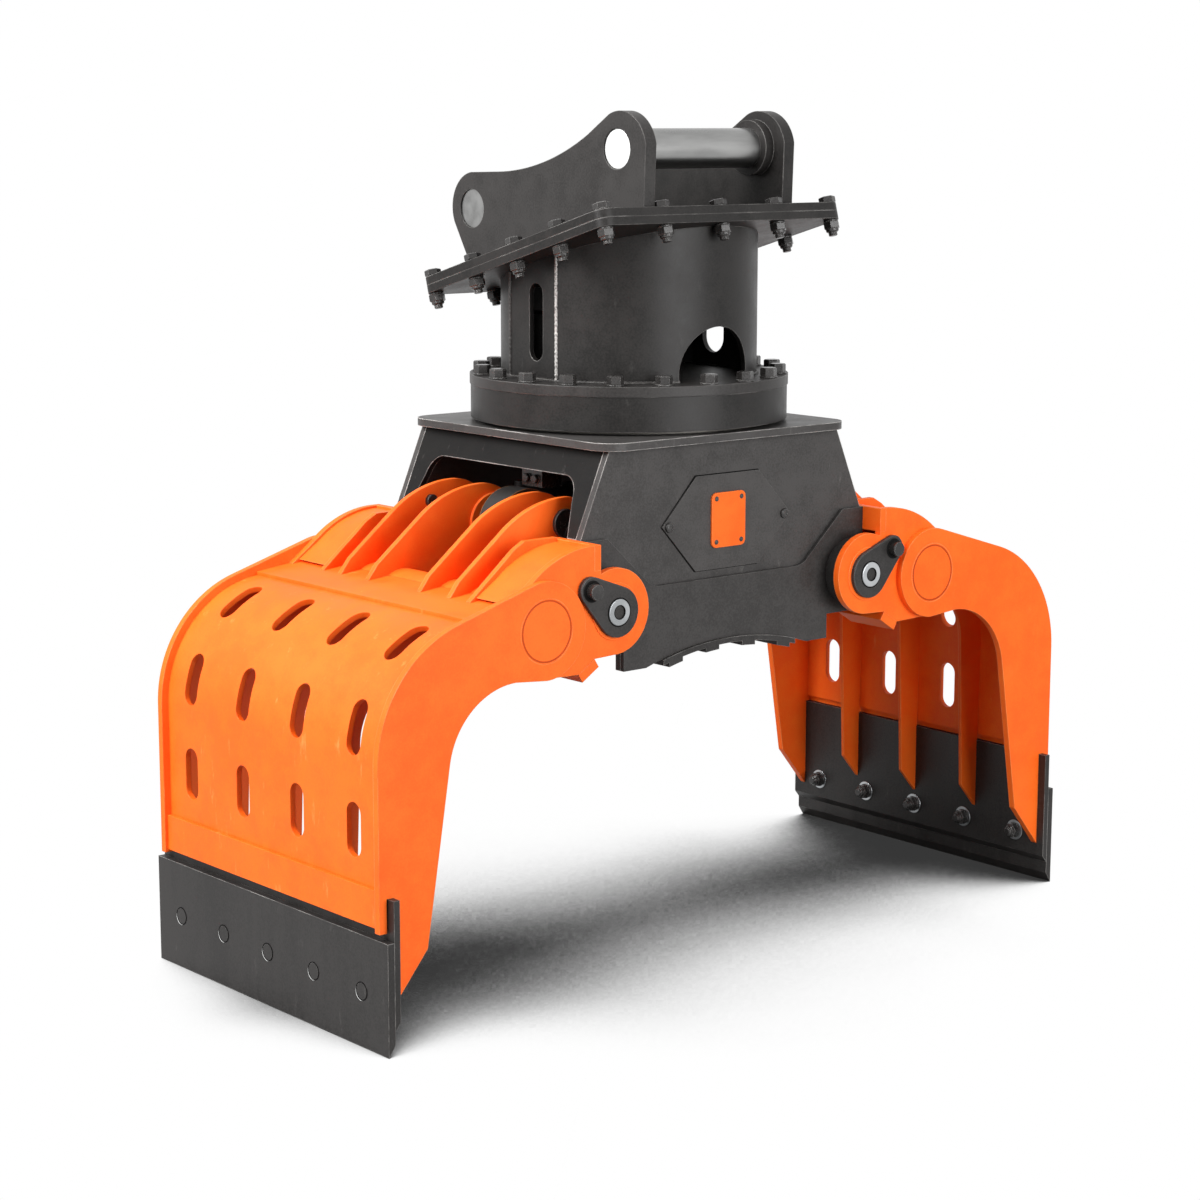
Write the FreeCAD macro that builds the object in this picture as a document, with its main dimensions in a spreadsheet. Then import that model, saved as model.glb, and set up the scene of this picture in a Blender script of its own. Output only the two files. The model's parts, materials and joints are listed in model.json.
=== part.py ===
"""Rotating sorting grapple: two shells that close on a slewing frame.

Frame of reference: origin bottom centre of the open grapple, +Z up,
+X toward the right shell, the pivot pins along Y. Millimetres.
"""
import FreeCAD, Part
import math
import os
import re
import Sketcher

DOC = FreeCAD.newDocument("SortingGrapple")
SHEET = DOC.addObject("Spreadsheet::Sheet", "Sizes")

SIZES = {
    # Pivots and general clearances
    "pivot_x": 346.7,
    "pivot_z": 765,
    "pin_radius": 40,
    "pin_fit": 0.05,
    "seat_gap": 0.3,
    "eye_radius": 85,
    "open_stop_reach": 36.8,
    # Frame: top plate and sides
    "roof_overhang": 22.85,
    "side_overhang": 24.2,
    "frame_rise": 319.3,
    "top_thick": 16,
    "top_corner": 55,
    "side_gap": 37,
    "side_thick": 15,
    "doubler_thick": 10,
    "side_rise": 134,
    "roof_x": 311,
    "foot_inset": 66.2,
    "foot_width": 58.5,
    "foot_drop": 136,
    "arch_rise": 36.5,
    "doubler_land": 60,
    "doubler_drop": 98,
    "doubler_rise": 26,
    "doubler_lean": 9,
    "doubler_run": 36,
    "doubler_step": 1,
    "doubler_corner": 60,
    # Frame: end plates, belly, covers
    "end_thick": 15,
    "window_post": 26,
    "window_top_post": 54,
    "window_lean": 6,
    "window_ease": 3,
    "window_drop": 71.3,
    "window_corner": 40,
    "belly_half": 182.3,
    "belly_overhang": 17.3,
    "belly_thick": 11,
    "bar_width": 36,
    "bar_thick": 9,
    "bar_inner_x": 49.8,
    "bar_outer_x": 148.4,
    "cover_top_half": 86,
    "cover_half": 175.5,
    "cover_top_rise": 235,
    "cover_mid_rise": 140.5,
    "cover_low_rise": 43,
    "cover_thick": 4,
    "cover_screw_inset": 17.5,
    "cover_screw_drop": 1.5,
    "cover_screw_radius": 9,
    "screw_head": 5,
    # Pivot bosses of the frame
    "boss_radius": 70,
    "boss_gap": 1,
    # Slewing ring
    "ring_radius": 330,
    "ring_base_gap": 8,
    "ring_wall": 34,
    "ring_height": 77.7,
    "table_overhang": 2,
    "table_thick": 20.8,
    "race_gap": 0.3,
    "race_depth": 5,
    "gear_module": 8,
    "ring_teeth": 60,
    "pinion_teeth": 14,
    "gear_backlash": 0.8,
    "gear_width": 40,
    "race_floor": 15.7,
    "tooth_relief": 0.75,
    "tooth_depth": 1.25,
    "cut_overrun": 1,
    "inner_ring_height": 65.7,
    "pinion_space": 21,
    "shaft_radius": 22,
    "motor_radius": 62,
    "motor_height": 120,
    "motor_foot_radius": 68,
    "motor_foot_thick": 16,
    "pinion_rise": 10,
    "pinion_top_gap": 2,
    "tooth_root": 2,
    "table_hole_radius": 55,
    "ring_bolt_count": 20,
    "ring_bolt_inset": 20,
    "ring_bolt_turn": 8.3,
    "ring_bolt_across": 36,
    "ring_bolt_head": 15,
    # Neck
    "neck_inset": 43.5,
    "neck_flat_depth": 10.5,
    "neck_wall": 12,
    "slot_y": -10,
    "slot_width": 43,
    "slot_low_rise": 37.7,
    "slot_high_rise": 194.2,
    "port_y": 7,
    "port_width": 66,
    "port_low_rise": 27.2,
    "port_high_rise": 142.2,
    "door_x": 9,
    "door_width": 188,
    "door_rise": 109.2,
    "cut_margin": 30,
    "slant_margin": 100,
    # Head plates, tilted about X
    "head_tilt": 15.56,
    "head_y": -2,
    "head_rise": 271.8,
    "head_reach_x": 57.9,
    "head_reach_y": 35.2,
    "head_corner": 28,
    "adapter_thick": 17,
    "flange_thick": 17,
    "head_bolt_inset": 20,
    "head_bolt_radius": 10,
    "head_bolt_across": 30,
    "head_bolt_head": 13,
    "washer_radius": 15.5,
    "washer_thick": 4,
    "nut_height": 17,
    "bolt_end": 12,
    # Ears
    "ear_outer_x": 200,
    "ear_thick": 28,
    "front_eye_y": -193.6,
    "front_eye_rise": 190.3,
    "rear_eye_y": 273,
    "rear_eye_rise": 63.1,
    "ear_front_y": -275.4,
    "ear_front_rise": 85.4,
    "ear_rear_y": 275,
    "front_eye_radius": 79,
    "rear_eye_radius": 74,
    "ear_heel_back": 14,
    "ear_heel_drop": 106,
    "rear_side_back": 60.7,
    "rear_side_drop": 28.7,
    "rear_top_back": 2.8,
    "rear_top_rise": 75.1,
    "saddle_low_front": 91,
    "saddle_low_rise": 77.6,
    "saddle_high_back": 87.6,
    "saddle_high_rise": 28.1,
    "saddle_radius": 632,
    "front_top_back": 24.6,
    "front_top_rise": 66.7,
    "front_side_front": 86.1,
    "front_side_rise": 11.1,
    "collar_radius": 56,
    "collar_length": 22,
    "stick_pin_recess": 3,
    # Shell: side plates, relative to the pivot
    "blade_overhang": 20,
    "inner_gap": 37,
    "hook_thick": 15,
    "tube_x": 182.9,
    "tube_z": -15.1,
    "tube_radius": 63,
    "tube_wall": 14,
    "tube_cap": 10,
    "hook_end_radius": 95.5,
    "hook_tangent_share": 0.287,
    "back_x": 322.3,
    "back_z": -225,
    "back_radius": 256,
    "crown_x": 396.3,
    "throat_top_x": 257.3,
    "throat_top_z": -104,
    "throat_x": 256.3,
    "throat_z": -264,
    "throat_radius": 160,
    "throat_end_rise": 24.5,
    "leg_width": 77.5,
    "knee_rise": 185,
    "tip_rise": 90.7,
    "leg_end_rise": 232,
    "leg_lap": 2,
    # Shell: backing plate and blade
    "bucket_width": 800,
    "backing_inset": 31.5,
    "backing_thick": 13,
    "backing_rise": 297,
    "backing_inner_rise": 64,
    "backing_low_rise": 48,
    "blade_thick": 15,
    "blade_rise": 218,
    "blade_bevel": 23,
    "plow_rise": 109,
    "plow_inset": 85,
    "plow_count": 5,
    "plow_radius": 10,
    "plow_across": 30,
    "plow_nut": 16,
    "plow_stub": 8,
    # Shell: back plate and its slots
    "skin_thick": 12,
    "skin_recess": 15,
    "skin_rise": 310,
    "lap_rise": 238,
    "lap_thick": 12,
    "seam_x": 346.3,
    "roof_lift": 7.2,
    "roof_top_angle": 56,
    "roof_low_angle": 38,
    "slot_long": 105,
    "slot_wide": 45,
    "slot_margin": 84.05,
    "slot_cut_margin": 8,
    "slot_cut_extra": 30,
    "slot_columns": 4,
    "slot_top_angle": 60.6,
    "slot_mid_angle": 14.9,
    "slot_foot_rise": 409,
    # Shell: inner ribs
    "rib_thick": 12,
    "rib_pitch": 189,
    "rib_knee_inset": 2,
    "rib_knee_rise": 210,
    "rib_tip_rise": 142.5,
    "rib_throat": 22,
    # Shell: hinge box
    "hinge_outer_thick": 15,
    "hinge_inner_thick": 12,
    "foot_x": 265.3,
    "shoulder_x": 202.3,
    "shoulder_rise": 80,
    "dome_x": 53.3,
    "dome_z": -97,
    "dome_radius": 231,
    "stop_thick": 16,
    "stop_low_z": 85,
    "heel_x": 53,
    "heel_z": -87,
    "bar_end_x": 92.8,
    "bar_end_z": -113,
    "bar_low_x": 83.3,
    "bar_low_z": -129.5,
    "bar_toe_x": 42.3,
    "bar_toe_z": -103.5,
    "inner_bend_x": 157.3,
    "inner_bend_z": 123,
    "inner_top_x": 132.3,
    "inner_top_z": 137,
    "cover_recess": 5,
    "cover_sheet": 6,
    "cover_slope": 0.8,
    "cover_lead": 4.2,
    "cover_back": 8,
    "cover_foot_back": 14,
    "cover_foot_rise": 10,
    # Shell: lug ribs for the cylinders
    "lug_x": -49.7,
    "lug_z": 120,
    "lug_near_y": 87,
    "lug_far_y": 182,
    "lug_radius": 71.5,
    "lug_pin_radius": 30,
    "lug_boss_radius": 61,
    "lug_boss_depth": 6,
    "lug_step_x": 243.3,
    "lug_step_z": 61.5,
    "lug_bend_x": 126.3,
    "lug_bend_rise": 35,
    "lug_top_back": 31,
    "lug_crown": 82.5,
    "lug_top_bulge": 248,
    "lug_nose_front": 22,
    "lug_nose_bulge": 95,
    "lug_heel_angle": -48,
    "lug_low_x": 91.3,
    "lug_low_z": -75,
    "hub_radius": 80,
    "hub_half": 30,
    "lug_head_radius": 38,
    "lug_head_thick": 8,
    # Keepers of the pivot pins
    "keeper_radius": 50,
    "keeper_tail_radius": 28,
    "keeper_tail_x": 67.3,
    "keeper_tail_z": 48,
    "keeper_thick": 9,
    "keeper_lift": 2,
    "keeper_ring_radius": 57,
    "keeper_bolt_across": 30,
    "keeper_bolt_head": 13,
    "keeper_washer_radius": 20,
    "keeper_washer": 4,
    # Cylinders
    "cylinder_y": 134.5,
    "barrel_radius": 58,
    "barrel_bore": 46,
    "barrel_start": 218,
    "barrel_end": 205,
    "barrel_floor": 22,
    "gland_length": 30,
    "rod_radius": 28,
    "piston_length": 36,
    "piston_gap": 6,
    "lug_eye_radius": 48,
    "lug_eye_width": 80,
    "eye_neck_share": 0.8,
    "weld_overlap": 1,
    "rod_overlap": 4,
    "port_boss_radius": 14,
    "port_boss_height": 12,
}

DERIVED = {
    # Frame
    "frame_end_x": "pivot_x + open_stop_reach - seat_gap",
    "frame_reach": "open_stop_reach - seat_gap",
    "eye_top_z": "pivot_z + sqrt(eye_radius^2 - frame_reach^2)",
    "foot_outer_x": "pivot_x - foot_inset",
    "foot_inner_x": "foot_outer_x - foot_width",
    "arch_top_z": "foot_z + arch_rise",
    "arch_radius": "(foot_inner_x^2 + arch_rise^2) / (2 * arch_rise)",
    "arch_center_z": "arch_top_z - arch_radius",
    "top_height": "pivot_z + frame_rise",
    "top_low_z": "top_height - top_thick",
    "shoulder_z": "pivot_z + side_rise",
    "foot_z": "pivot_z - foot_drop",
    "doubler_mid_z": "pivot_z + doubler_rise",
    "doubler_outer_y": "hinge_outer_y - side_gap",
    "side_outer_y": "doubler_outer_y - doubler_thick",
    "side_inner_y": "side_outer_y - side_thick",
    "window_half": "side_inner_y - window_post",
    "window_top_half": "side_inner_y - window_top_post",
    "window_top_z": "top_height - window_drop",
    "cover_top_z": "pivot_z + cover_top_rise",
    "cover_mid_z": "pivot_z + cover_mid_rise",
    "cover_low_z": "pivot_z + cover_low_rise",
    "cover_screw_x": "cover_half - cover_screw_inset",
    "cover_screw_z": "cover_mid_z - cover_screw_drop",
    "boss_inner_y": "hinge_inner_y + hinge_inner_thick + boss_gap",
    "boss_outer_y": "hinge_outer_y - boss_gap",
    "belly_low_radius": "arch_radius - belly_thick",
    "bar_radius": "belly_low_radius - bar_thick",
    # Slewing ring and head
    "gear_floor_z": "top_height + race_floor",
    "inner_ring_top_z": "top_height + inner_ring_height",
    "ring_top_z": "top_height + ring_height",
    "table_top_z": "ring_top_z + table_thick",
    "table_radius": "ring_radius + table_overhang",
    "ring_bore": "ring_radius - ring_wall",
    "ring_bolt_circle": "ring_radius - ring_bolt_inset",
    "inner_ring_radius": "ring_bore - race_gap",
    "gear_pitch_radius": "gear_module * ring_teeth / 2",
    "gear_root_radius": "gear_pitch_radius + gear_module * tooth_depth",
    "gear_tip_radius": "gear_pitch_radius - gear_module * tooth_relief",
    "pinion_angle": "pinion_space * 360 / ring_teeth",
    "pinion_pitch_radius": "gear_module * pinion_teeth / 2",
    "pinion_offset": "gear_pitch_radius - pinion_pitch_radius",
    "pinion_x": "pinion_offset * cos(pinion_angle)",
    "pinion_y": "pinion_offset * sin(pinion_angle)",
    "neck_radius": "ring_bolt_circle - neck_inset",
    "neck_flat_x": "neck_radius - neck_flat_depth",
    "neck_flat_y": "sqrt(neck_radius^2 - neck_flat_x^2)",
    "slot_low_z": "table_top_z + slot_low_rise",
    "slot_high_z": "table_top_z + slot_high_rise",
    "port_low_z": "table_top_z + port_low_rise",
    "port_high_z": "table_top_z + port_high_rise",
    "door_top_z": "table_top_z + door_rise",
    "head_z": "table_top_z + head_rise",
    "head_half_x": "neck_radius + head_reach_x",
    "head_half_y": "neck_radius + head_reach_y",
    "front_eye_z": "head_z + front_eye_rise",
    "rear_eye_z": "head_z + rear_eye_rise",
    "ear_front_low_z": "head_z + ear_front_rise",
    "neck_bore": "neck_radius - neck_wall",
    "neck_inner_x": "neck_flat_x - neck_wall",
    "neck_inner_y": "sqrt(neck_bore^2 - neck_inner_x^2)",
    "neck_top_z": "head_z - (adapter_thick + flange_thick) / cos(head_tilt)",
    "ear_inner_x": "ear_outer_x - ear_thick",
    "collar_inner_x": "ear_inner_x - collar_length",
    # Shell
    "shell_half": "bucket_width / 2 - blade_overhang",
    "hook_inner_y": "shell_half - hook_thick",
    "hinge_outer_y": "hook_inner_y - hinge_outer_thick",
    "hinge_inner_y": "side_inner_y - inner_gap - hinge_inner_thick",
    "hook_low_z": "tube_z - hook_end_radius",
    "back_edge_x": "back_x + back_radius",
    "crown_z": "back_z + sqrt(back_radius^2 - (crown_x - back_x)^2)",
    "backing_x": "back_edge_x - backing_inset",
    "backing_outer_x": "backing_x + backing_thick",
    "blade_outer_x": "backing_outer_x + blade_thick",
    "blade_low_z": "-pivot_z",
    "blade_top_z": "blade_low_z + blade_rise",
    "blade_inner_low_z": "blade_low_z + blade_bevel",
    "backing_top_z": "blade_low_z + backing_rise",
    "backing_inner_low_z": "blade_low_z + backing_inner_rise",
    "backing_low_z": "blade_low_z + backing_low_rise",
    "knee_x": "backing_x - leg_width",
    "knee_z": "blade_low_z + knee_rise",
    "tip_z": "blade_low_z + tip_rise",
    "leg_end_z": "blade_low_z + leg_end_rise",
    "plow_z": "blade_low_z + plow_rise",
    "plow_pitch": "(bucket_width - 2 * plow_inset) / (plow_count - 1)",
    "skin_low_z": "blade_low_z + skin_rise",
    "lap_low_z": "blade_low_z + lap_rise",
    "slot_foot_z": "blade_low_z + slot_foot_rise",
    "slot_rows_y": "2 * (hook_inner_y - slot_margin) / (slot_columns - 1)",
    "rib_knee_x": "knee_x - rib_knee_inset",
    "rib_knee_z": "blade_low_z + rib_knee_rise",
    "rib_tip_z": "blade_low_z + rib_tip_rise",
    "tube_tangent_x": "tube_x + hook_tangent_share * hook_end_radius",
    "skin_outer_radius": "back_radius - skin_recess",
    "skin_inner_radius": "skin_outer_radius - skin_thick",
    "seam_outer_z": "back_z + sqrt(skin_outer_radius^2 - (seam_x - back_x)^2)",
    "seam_z": "seam_outer_z + roof_lift",
    "seam_inner_z": "back_z + sqrt(skin_inner_radius^2 - (seam_x - back_x)^2)",
    "skin_outer_x": "back_x + skin_outer_radius",
    "skin_inner_x": "back_x + skin_inner_radius",
    "foot_rise": "tube_z + sqrt(hook_end_radius^2 - (foot_x - tube_x)^2)",
    "throat_end_z": "throat_z + throat_end_rise",
    "throat_end_x": "throat_x + sqrt(throat_radius^2 - (throat_end_z - throat_z)^2)",
    "dome_top_z": "dome_z + dome_radius",
    "stop_outer_x": "open_stop_reach + stop_thick",
    "stop_eye_z": "sqrt(eye_radius^2 - open_stop_reach^2)",
    "lug_bend_z": "lug_z + lug_bend_rise",
    "lug_top_x": "lug_x + lug_top_back",
    "lug_top_z": "lug_z + lug_crown",
    "lug_nose_x": "lug_x - lug_nose_front",
    "pin_bore": "pin_radius + pin_fit",
}

WORD = re.compile(r"[a-z][a-z0-9_]*")


def expand(text):
    """Write derived names out as formulas of the sheet's own aliases."""

    def swap(match):
        word = match.group(0)
        if word in SIZES:
            return "Sizes." + word
        if word in DERIVED:
            return "(" + expand(DERIVED[word]) + ")"
        return word

    return WORD.sub(swap, str(text))


def value(text):
    """Number that a formula of the sizes gives now."""
    return float(SHEET.evalExpression(expand(text)))


def fill_sheet():
    """Write every size with its alias into the sheet."""
    for row, (alias, number) in enumerate(SIZES.items(), start=1):
        SHEET.set("A%d" % row, alias)
        SHEET.set("B%d" % row, str(number))
        SHEET.setAlias("B%d" % row, alias)
    DOC.recompute()


# Outlines are lists of steps; each step leads on to its own point

LEFT_TURN = 1
RIGHT_TURN = -1


def line(x, y):
    """Straight run to the point x, y."""
    return {"x": x, "y": y}


def arc(x, y, radius, turn=LEFT_TURN, large=False):
    """Arc to the point x, y; LEFT_TURN runs anticlockwise."""
    return {"x": x, "y": y, "radius": radius, "turn": turn, "large": large}


def circle(x, y, radius):
    """Full circle as an outline of its own."""
    return {"x": x, "y": y, "radius": radius}


def arc_center(start, end, radius, turn, large):
    """Centre of the arc between two points."""
    middle = (start + end) * 0.5
    chord = end - start
    normal = FreeCAD.Vector(-chord.y, chord.x, 0)
    normal.normalize()
    height = math.sqrt(max(radius ** 2 - (chord.Length / 2) ** 2, 0))
    side = -turn if large else turn
    return middle + normal * (height * side)


def pin_point(sketch, geometry, position, step):
    """Hold one point at the place that its two formulas give."""
    for kind, key in (("DistanceX", "x"), ("DistanceY", "y")):
        number = value(step[key])
        index = sketch.addConstraint(
            Sketcher.Constraint(kind, -1, 1, geometry, position, number))
        sketch.setExpression("Constraints[%d]" % index, expand(step[key]))


def pin_radius(sketch, geometry, radius):
    """Hold the radius of an arc or a circle."""
    index = sketch.addConstraint(
        Sketcher.Constraint("Radius", geometry, value(radius)))
    sketch.setExpression("Constraints[%d]" % index, expand(radius))


def draw_circle(sketch, step):
    """Draw a circle with its centre and radius held."""
    center = FreeCAD.Vector(value(step["x"]), value(step["y"]), 0)
    shape = Part.Circle(center, FreeCAD.Vector(0, 0, 1), value(step["radius"]))
    index = sketch.addGeometry(shape)
    pin_point(sketch, index, 3, step)
    pin_radius(sketch, index, step["radius"])


def draw_loop(sketch, steps):
    """Draw a closed outline of lines and arcs, each point held in place."""
    points = [FreeCAD.Vector(value(step["x"]), value(step["y"]), 0) for step in steps]
    ends = []
    for index, step in enumerate(steps):
        start = points[index - 1]
        end = points[index]
        if "radius" not in step:
            geometry = sketch.addGeometry(Part.LineSegment(start, end))
            ends.append((geometry, 1, 2))
            continue
        radius = value(step["radius"])
        center = arc_center(start, end, radius, step["turn"], step["large"])
        first = start if step["turn"] == LEFT_TURN else end
        last = end if step["turn"] == LEFT_TURN else start
        full = Part.Circle(center, FreeCAD.Vector(0, 0, 1), radius)
        angle_first = math.atan2(first.y - center.y, first.x - center.x)
        angle_last = math.atan2(last.y - center.y, last.x - center.x)
        geometry = sketch.addGeometry(Part.ArcOfCircle(full, angle_first, angle_last))
        ends.append((geometry, 1, 2) if step["turn"] == LEFT_TURN else (geometry, 2, 1))
    for index, step in enumerate(steps):
        geometry, _, finish = ends[index]
        following, begin, _ = ends[(index + 1) % len(steps)]
        sketch.addConstraint(
            Sketcher.Constraint("Coincident", geometry, finish, following, begin))
        pin_point(sketch, geometry, finish, step)
    for index, step in enumerate(steps):
        if "radius" in step:
            pin_radius(sketch, ends[index][0], step["radius"])


def body(label, x="0", y="0", z="0", turn_z=0, tilt_x="0"):
    """Empty body with its place bound to the sheet."""
    item = DOC.addObject("PartDesign::Body", label)
    item.Label = label
    angle = turn_z if turn_z else value(tilt_x)
    axis = FreeCAD.Vector(0, 0, 1) if turn_z else FreeCAD.Vector(1, 0, 0)
    item.Placement = FreeCAD.Placement(FreeCAD.Vector(), FreeCAD.Rotation(axis, angle))
    for key, text in (("x", x), ("y", y), ("z", z)):
        item.setExpression("Placement.Base." + key, expand(text))
    if not turn_z:
        item.setExpression("Placement.Rotation.Angle", expand(tilt_x))
    return item


def plane_of(item, role):
    """Origin plane or axis of the body itself."""
    return [feature for feature in item.Origin.OriginFeatures if feature.Role == role][0]


def sketch_on(item, name, role, offset, loops, rotation=None, base=None):
    """Sketch on an origin plane of the body, shifted along its normal."""
    sketch = item.newObject("Sketcher::SketchObject", item.Label + "_" + name)
    sketch.AttachmentSupport = [(plane_of(item, role), "")]
    sketch.MapMode = "FlatFace"
    spin = rotation if rotation else FreeCAD.Rotation()
    sketch.AttachmentOffset = FreeCAD.Placement(FreeCAD.Vector(), spin)
    sketch.setExpression("AttachmentOffset.Base.z", expand(offset))
    if base:
        sketch.setExpression("AttachmentOffset.Base.x", expand(base[0]))
        sketch.setExpression("AttachmentOffset.Base.y", expand(base[1]))
    for steps in loops:
        if isinstance(steps, dict):
            draw_circle(sketch, steps)
        else:
            draw_loop(sketch, steps)
    return sketch


# The sketch of the upright XZ plane looks along -Y, the others along their axis

def pad(item, name, role, loops, low, high):
    """Add a prism between two levels along the plane's axis."""
    offset = "-(%s)" % high if role == "XZ_Plane" else low
    sketch = sketch_on(item, name, role, offset, loops)
    feature = item.newObject("PartDesign::Pad", sketch.Name + "_pad")
    feature.Profile = sketch
    feature.setExpression("Length", expand("(%s) - (%s)" % (high, low)))
    item.Tip = feature
    return feature


def pocket(item, name, role, loops, low, high):
    """Cut a prism between two levels along the plane's axis."""
    offset = "-(%s)" % low if role == "XZ_Plane" else high
    sketch = sketch_on(item, name, role, offset, loops)
    feature = item.newObject("PartDesign::Pocket", sketch.Name + "_cut")
    feature.Profile = sketch
    feature.setExpression("Length", expand("(%s) - (%s)" % (high, low)))
    item.Tip = feature
    return feature


def mirror(item, features, role):
    """Repeat features on the other side of an origin plane."""
    feature = item.newObject("PartDesign::Mirrored", item.Label + "_mirror")
    feature.Originals = features
    feature.MirrorPlane = (plane_of(item, role), [""])
    item.Tip = feature
    return feature


def ring_of(item, feature, count):
    """Repeat a feature round the vertical axis."""
    pattern = item.newObject("PartDesign::PolarPattern", item.Label + "_ring")
    pattern.Originals = [feature]
    pattern.Axis = (plane_of(item, "Z_Axis"), [""])
    pattern.Angle = 360
    pattern.setExpression("Occurrences", expand(count))
    item.Tip = pattern
    return pattern


def row_of(item, name, feature, role, pitch, count):
    """Repeat a feature in a row along an origin axis."""
    pattern = item.newObject("PartDesign::LinearPattern", item.Label + "_" + name)
    pattern.Originals = [feature]
    pattern.Direction = (plane_of(item, role), [""])
    pattern.setExpression("Length", expand("(%s) * ((%s) - 1)" % (pitch, count)))
    pattern.setExpression("Occurrences", expand(count))
    item.Tip = pattern
    return pattern


def rectangle(left, low, right, high):
    """Rectangle from its four sides."""
    return [line(right, low), line(right, high), line(left, high), line(left, low)]


def rounded_rectangle(half_x, half_y, corner):
    """Rectangle about the origin with round corners."""
    steps = []
    signs = ((1, 1), (-1, 1), (-1, -1), (1, -1))
    for sign_x, sign_y in signs:
        near = ("%d * (%s)" % (sign_x, half_x), "%d * ((%s) - (%s))" % (sign_y, half_y, corner))
        far = ("%d * ((%s) - (%s))" % (sign_x, half_x, corner), "%d * (%s)" % (sign_y, half_y))
        pair = (near, far) if sign_x * sign_y > 0 else (far, near)
        steps.append(line(*pair[0]))
        steps.append(arc(pair[1][0], pair[1][1], corner))
    return steps


def hexagon(x, y, across, turn=0):
    """Regular hexagon given its width across flats."""
    reach = "(%s) / sqrt(3)" % across
    return [line("(%s) + %s * cos(%d)" % (x, reach, angle), "(%s) + %s * sin(%d)" % (y, reach, angle))
            for angle in range(turn, turn + 360, 60)]


def obround(x, low, high, width):
    """Upright slot with round ends."""
    half = "(%s) / 2" % width
    left = "(%s) - %s" % (x, half)
    right = "(%s) + %s" % (x, half)
    bottom = "(%s) + %s" % (low, half)
    top = "(%s) - %s" % (high, half)
    return [
        line(right, top),
        arc(x, high, half),
        arc(left, top, half),
        line(left, bottom),
        arc(x, low, half),
        arc(right, bottom, half),
    ]


# Frame

def eye_and_arch():
    """Lower edge from the left shoulder under both eyes to the right shoulder."""
    return [
        line("-(frame_end_x)", "eye_top_z"),
        arc("-(pivot_x + eye_radius)", "pivot_z", "eye_radius"),
        arc("-(pivot_x)", "pivot_z - eye_radius", "eye_radius"),
        line("-(foot_outer_x)", "pivot_z - eye_radius"),
        line("-(foot_outer_x)", "foot_z"),
        line("-(foot_inner_x)", "foot_z"),
        arc("foot_inner_x", "foot_z", "arch_radius", RIGHT_TURN),
        line("foot_outer_x", "foot_z"),
        line("foot_outer_x", "pivot_z - eye_radius"),
        line("pivot_x", "pivot_z - eye_radius"),
        arc("pivot_x + eye_radius", "pivot_z", "eye_radius"),
        arc("frame_end_x", "eye_top_z", "eye_radius"),
    ]


def boss_holes():
    """Round holes of a frame side for the pivot bosses."""
    return [circle("pivot_x", "pivot_z", "boss_radius"), circle("-(pivot_x)", "pivot_z", "boss_radius")]


def cover_outline():
    """Six-sided inspection cover."""
    return [
        line("cover_top_half", "cover_low_z"),
        line("cover_half", "cover_mid_z"),
        line("cover_top_half", "cover_top_z"),
        line("-(cover_top_half)", "cover_top_z"),
        line("-(cover_half)", "cover_mid_z"),
        line("-(cover_top_half)", "cover_low_z"),
    ]


FACES = (("front", -1), ("rear", 1))


def span(sign, near, far):
    """Levels low and high of a plate that lies between near and far on one side."""
    if sign > 0:
        return near, far
    return "-(%s)" % far, "-(%s)" % near


def build_frame_sides():
    """Two side plates with their bosses' holes."""
    upper = [
        line("frame_end_x", "shoulder_z"),
        line("roof_x", "top_low_z"),
        line("-(roof_x)", "top_low_z"),
        line("-(frame_end_x)", "shoulder_z"),
    ]
    for name, sign in FACES:
        low, high = span(sign, "side_inner_y", "side_outer_y")
        item = body("frame_side_" + name)
        pad(item, "plate", "XZ_Plane", [eye_and_arch() + upper] + boss_holes(), low, high)


def build_doublers():
    """Reinforcing plates welded on the outside of the frame sides."""
    step_x = "frame_end_x - doubler_land"
    low_x = step_x + " - doubler_drop - doubler_lean"
    land_z = "shoulder_z - doubler_step"
    drop_z = land_z + " - doubler_drop"
    corner_x = low_x + " - doubler_run"
    right = [line("frame_end_x", land_z), line(step_x, land_z), line(low_x, drop_z)]
    upper = right + [arc(corner_x, "doubler_mid_z", "doubler_corner", RIGHT_TURN)]
    upper.append(line("-(%s)" % corner_x, "doubler_mid_z"))
    upper.append(arc("-(%s)" % low_x, drop_z, "doubler_corner", RIGHT_TURN))
    upper.append(line("-(%s)" % step_x, land_z))
    upper.append(line("-(frame_end_x)", land_z))
    for name, sign in FACES:
        low, high = span(sign, "side_outer_y", "doubler_outer_y")
        item = body("frame_doubler_" + name)
        pad(item, "plate", "XZ_Plane", [eye_and_arch() + upper] + boss_holes(), low, high)


def build_frame_ends():
    """Leaning end plates with a window for the cylinder lugs."""
    section = [
        line("frame_end_x", "shoulder_z"),
        line("roof_x", "top_low_z"),
        line("roof_x - end_thick", "top_low_z"),
        line("frame_end_x - end_thick", "shoulder_z"),
    ]
    corner_x = "window_top_half + window_lean"
    corner_radius = "window_corner + window_ease"
    window = [
        line("window_half", "shoulder_z - doubler_step"),
        line(corner_x, "window_top_z - window_corner"),
        arc("window_top_half - window_corner", "window_top_z", corner_radius),
        line("-(window_top_half - window_corner)", "window_top_z"),
        arc("-(%s)" % corner_x, "window_top_z - window_corner", corner_radius),
        line("-(window_half)", "shoulder_z - doubler_step"),
    ]
    for name, turn in (("right", 0), ("left", 180)):
        item = body("frame_end_" + name, turn_z=turn)
        pad(item, "plate", "XZ_Plane", [section], "-(side_inner_y)", "side_inner_y")
        pocket(item, "window", "YZ_Plane", [window], "0", "frame_end_x + end_thick")


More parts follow.
